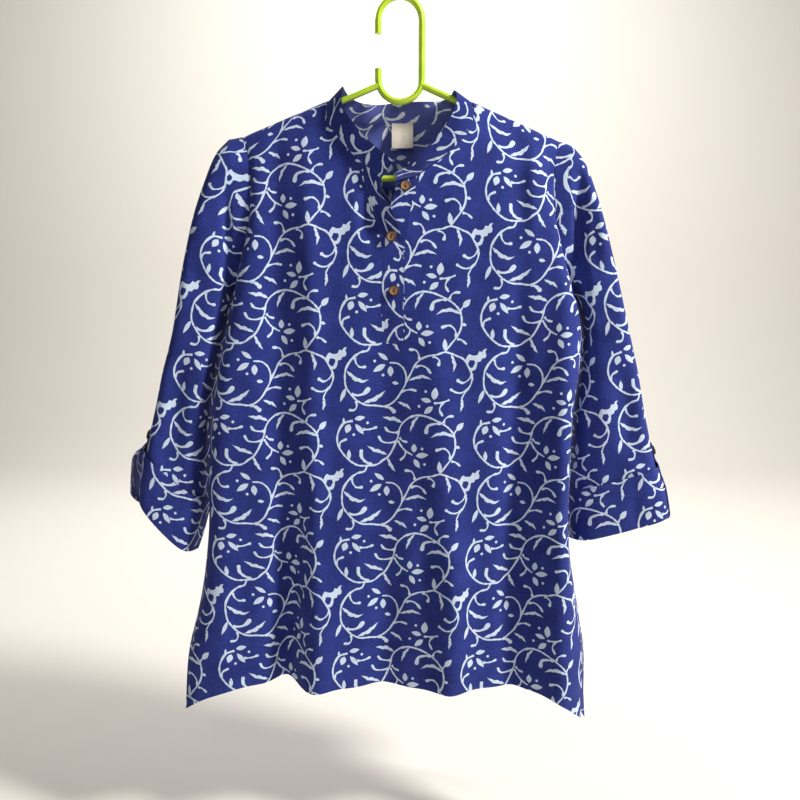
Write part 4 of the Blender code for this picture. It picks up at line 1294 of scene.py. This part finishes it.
def button(name, place, facing):
    """A turned coconut button with a rim, a dished face, two holes and the thread that holds it."""
    gap = BUTTON_HOLE_SPACING / 2
    holes = [disc(0, y, BUTTON_HOLE_RADIUS, 12) for y in (-gap, gap)]
    rings = [disc(0, 0.0, radius, 40 if radius > 3.5 else 24) for radius, _, _ in BUTTON_FACE[1:-1]]
    seeds, faces = [], []
    for outline in [disc(0, 0.0, BUTTON_RADIUS, 40)] + holes:
        faces.append(list(range(len(seeds), len(seeds) + len(outline))))
        seeds += [Vector(p) for p in outline]
    for ring in rings:
        seeds += [Vector(p) for p in ring if all(np.hypot(*(p - h.mean(0))) > 1.2 for h in holes)]
    coords, _, triangles, _, _, owners = delaunay_2d_cdt(seeds, [], faces, 0, 1e-5, True)
    keep = [tuple(t) for t, owner in zip(triangles, owners) if owner == [0]]
    flat = np.array([tuple(c) for c in coords])
    radius = np.hypot(flat[:, 0], flat[:, 1])
    table = np.array(BUTTON_FACE)
    near_hole = np.min([np.hypot(*(flat - h.mean(0)).T) for h in holes], axis=0)
    dip = 0.12 * (near_hole < BUTTON_HOLE_RADIUS + 0.1)
    face = np.column_stack([flat, np.interp(radius, table[:, 0], table[:, 1]) - dip])
    back = np.column_stack([flat, np.interp(radius, table[:, 0], table[:, 2])])
    count = len(flat)
    ends = {(t[k], t[(k + 1) % 3]) for t in keep for k in range(3)}
    rim = [(b, a, a + count, b + count) for a, b in ends if (b, a) not in ends]
    looks = [1 if radius[list(t)].mean() > BUTTON_RIM else 0 for t in keep]
    verts = face.tolist() + back.tolist()
    faces = keep + [tuple(i + count for i in t[::-1]) for t in keep] + sorted(rim)
    looks += [1] * (len(keep) + len(rim))
    strands = [
        [(x, -gap + 0.45, -2.8), (x, -gap + 0.5, -1.3), (x, -gap + 0.8, -0.6), (x, -gap * 0.3, -0.4),
         (x, gap * 0.3, -0.4), (x, gap - 0.8, -0.6), (x, gap - 0.5, -1.3), (x, gap - 0.45, -2.8)]
        for x in (-0.25, 0.25)
    ]
    shank = [(0, 0, z) for z in np.linspace(-2.4, -BUTTON_THICK - BUTTON_OFF - 0.2, 6)]
    for path, thickness, sides in [(p, STRAND_RADIUS, 6) for p in strands] + [(shank, SHANK_RADIUS, 10)]:
        more, more_faces = rod(path, thickness, sides)
        faces += [tuple(i + len(verts) for i in f) for f in more_faces]
        looks += [2] * len(more_faces)
        verts += more
    facing = Vector(facing).normalized()
    turn = np.array(facing.to_track_quat("Z", "Y").to_matrix())
    face_at = np.array(facing) * (BUTTON_OFF + BUTTON_THICK)
    placed = np.array([tuple(v) for v in verts]) @ turn.T + face_at + place
    made = make_mesh(name + "_coconut", placed, faces, [COCONUT, COCONUT_RIM, BUTTON_THREAD], looks)
    made.data.set_sharp_from_angle(angle=math.radians(50))
    return finish_piece(made, name)


def flat_at(point, share, down, towards):
    """A place on a surface and the surface's normal there, turned towards a direction."""
    shares, downs = share + np.array([0, -0.25, 0.25, 0, 0]), down + np.array([0, 0, 0, -0.03, 0.03])
    place, left, right, above, below = point(shares, downs)
    facing = np.cross(below - above, right - left)
    return place, facing if facing @ towards > 0 else -facing


def buttons():
    for name, (which, z) in BUTTONS.items():
        top_z = (STRIP_TOP[which][0][1] + STRIP_TOP[which][1][1]) / 2
        down = (z - top_z) / (OPENING_END_Z + SEAM - top_z)
        button(name, *flat_at(lambda share, down: strip_points(which, share, down), 0.5, down, (0, -1, 0)))
    for side, name in WEARERS.items():
        def on_tab(share, down):
            return tab_points(side, share * TAB_WIDTH / 2, down)

        button("tab_button_" + name, *flat_at(on_tab, 0, TAB_BUTTON_DOWN, (side, 0, 0)))


LABEL_LEFT, LABEL_RIGHT, LABEL_TOP_Z, LABEL_FOOT_Z = -10.0, 16.0, -137.0, -167.5
LABEL_STANDS_OFF = 6.0


def label():
    """A blank tape folded double and sewn on by its upper corners."""
    share, down = np.meshgrid(np.linspace(0, 1, 14), np.linspace(0, 1, 15))
    x, z = mix(LABEL_LEFT, LABEL_RIGHT, share), mix(LABEL_TOP_Z, LABEL_FOOT_Z, down)
    seam_y = hung_depth(x, LABEL_TOP_Z, DEPTHS["back"]) - 2 * CAD_WALL - LAID_ON
    curl = 0.8 * np.sin(math.pi * share) * down + 0.5 * np.sin(5 * share + 2 * down) * down
    y = seam_y - LABEL_STANDS_OFF * ease(down) * (0.6 + 0.4 * share) - curl
    points = np.stack([x, y, z], axis=2)
    tape = cloth("label_tape", points, unrolled(points), (0, -1, 0), [label_tape()] * 4, wall=TAPE_WALL)
    finish_piece(tape, "label")
    normals = grid_normals(points, (0, -1, 0))
    line, across = inset(points, normals, "top", 1.6)
    made = stitches("label_stitches", [(line[:4], across[:4]), (line[-4:], across[-4:])])
    return declared(tape)


def declared(piece):
    return piece


def finish_piece(piece, node=None):
    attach(piece, "root")
    if node:
        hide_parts(node)
    return piece


CAMERA_AT = (0, -0.99327, -0.35985)
CAMERA_DOWN = 6.65  # degrees


def camera():
    data = bpy.data.cameras.new("camera")
    data.lens, data.sensor_width = 36, 36
    made = add_object("camera", data)
    made.location = CAMERA_AT
    made.rotation_euler = (math.radians(90 - CAMERA_DOWN), 0, 0)
    bpy.context.scene.camera = made


def stage():
    """A plain floor that bends up into a plain wall."""
    plaster, _, _ = look("plaster", base_color=(0.78, 0.74, 0.68, 1), roughness=0.9)
    size, back, floor, bend = 9000, 3200, -1050, 900
    profile = [(back, 4000)]
    profile += [(back - bend * (1 - math.cos(a)), floor + bend * (1 - math.sin(a)))
                for a in np.linspace(0, math.pi / 2, 13)]
    profile.append((-3500, floor))
    verts = [(x, y, z) for y, z in profile for x in (-size / 2, size / 2)]
    faces = [(2 * i, 2 * i + 1, 2 * i + 3, 2 * i + 2) for i in range(len(profile) - 1)]
    make_mesh("backdrop", verts, faces, [plaster])


LIGHTS = (
    # name, place, target, diameter, watts, colour
    ("key", (2.09, -0.93, 1.33), (0, 0, -0.45), 0.5, 115, (1, 0.985, 0.96)),
    ("neck", (-0.1, -1.45, 0.35), (0, 0.02, -0.15), 0.4, 2.4, (1, 1, 1)),
    ("fill", (-1.4, -1.9, -0.2), (0, 0, -0.45), 1.8, 2, (1, 1, 1)),
    ("rear", (-0.8, 1.7, 0.9), (0, 0, -0.4), 1.2, 14, (1, 1, 1)),
    ("backdrop", (0, 1.2, 1.6), (0, 3.2, -0.2), 1.5, 60, (1, 1, 1)),
)
WORLD_COLOUR, WORLD_STRENGTH = (1, 0.98, 0.96, 1), 0.085


def lights():
    for name, place, target, size, watts, colour in LIGHTS:
        data = bpy.data.lights.new(name, "AREA")
        data.shape, data.size, data.energy, data.color = "DISK", size, watts, colour
        made = add_object(name, data)
        made.location = place
        made.rotation_euler = (Vector(target) - Vector(place)).to_track_quat("-Z", "Y").to_euler()
    world = bpy.data.worlds.new("studio")
    world.use_nodes = True
    background = world.node_tree.nodes["Background"]
    background.inputs[0].default_value = WORLD_COLOUR
    background.inputs[1].default_value = WORLD_STRENGTH
    bpy.context.scene.world = world
    bpy.context.scene.view_settings.view_transform = "Standard"


def main():
    body()
    placket()
    for side in WEARERS:
        sleeve(side)
    collar()
    label()
    buttons()
    plastic = lime_plastic()
    for held in bpy.data.objects["hanger"].material_slots:
        held.material = plastic
    camera()
    stage()
    lights()


main()
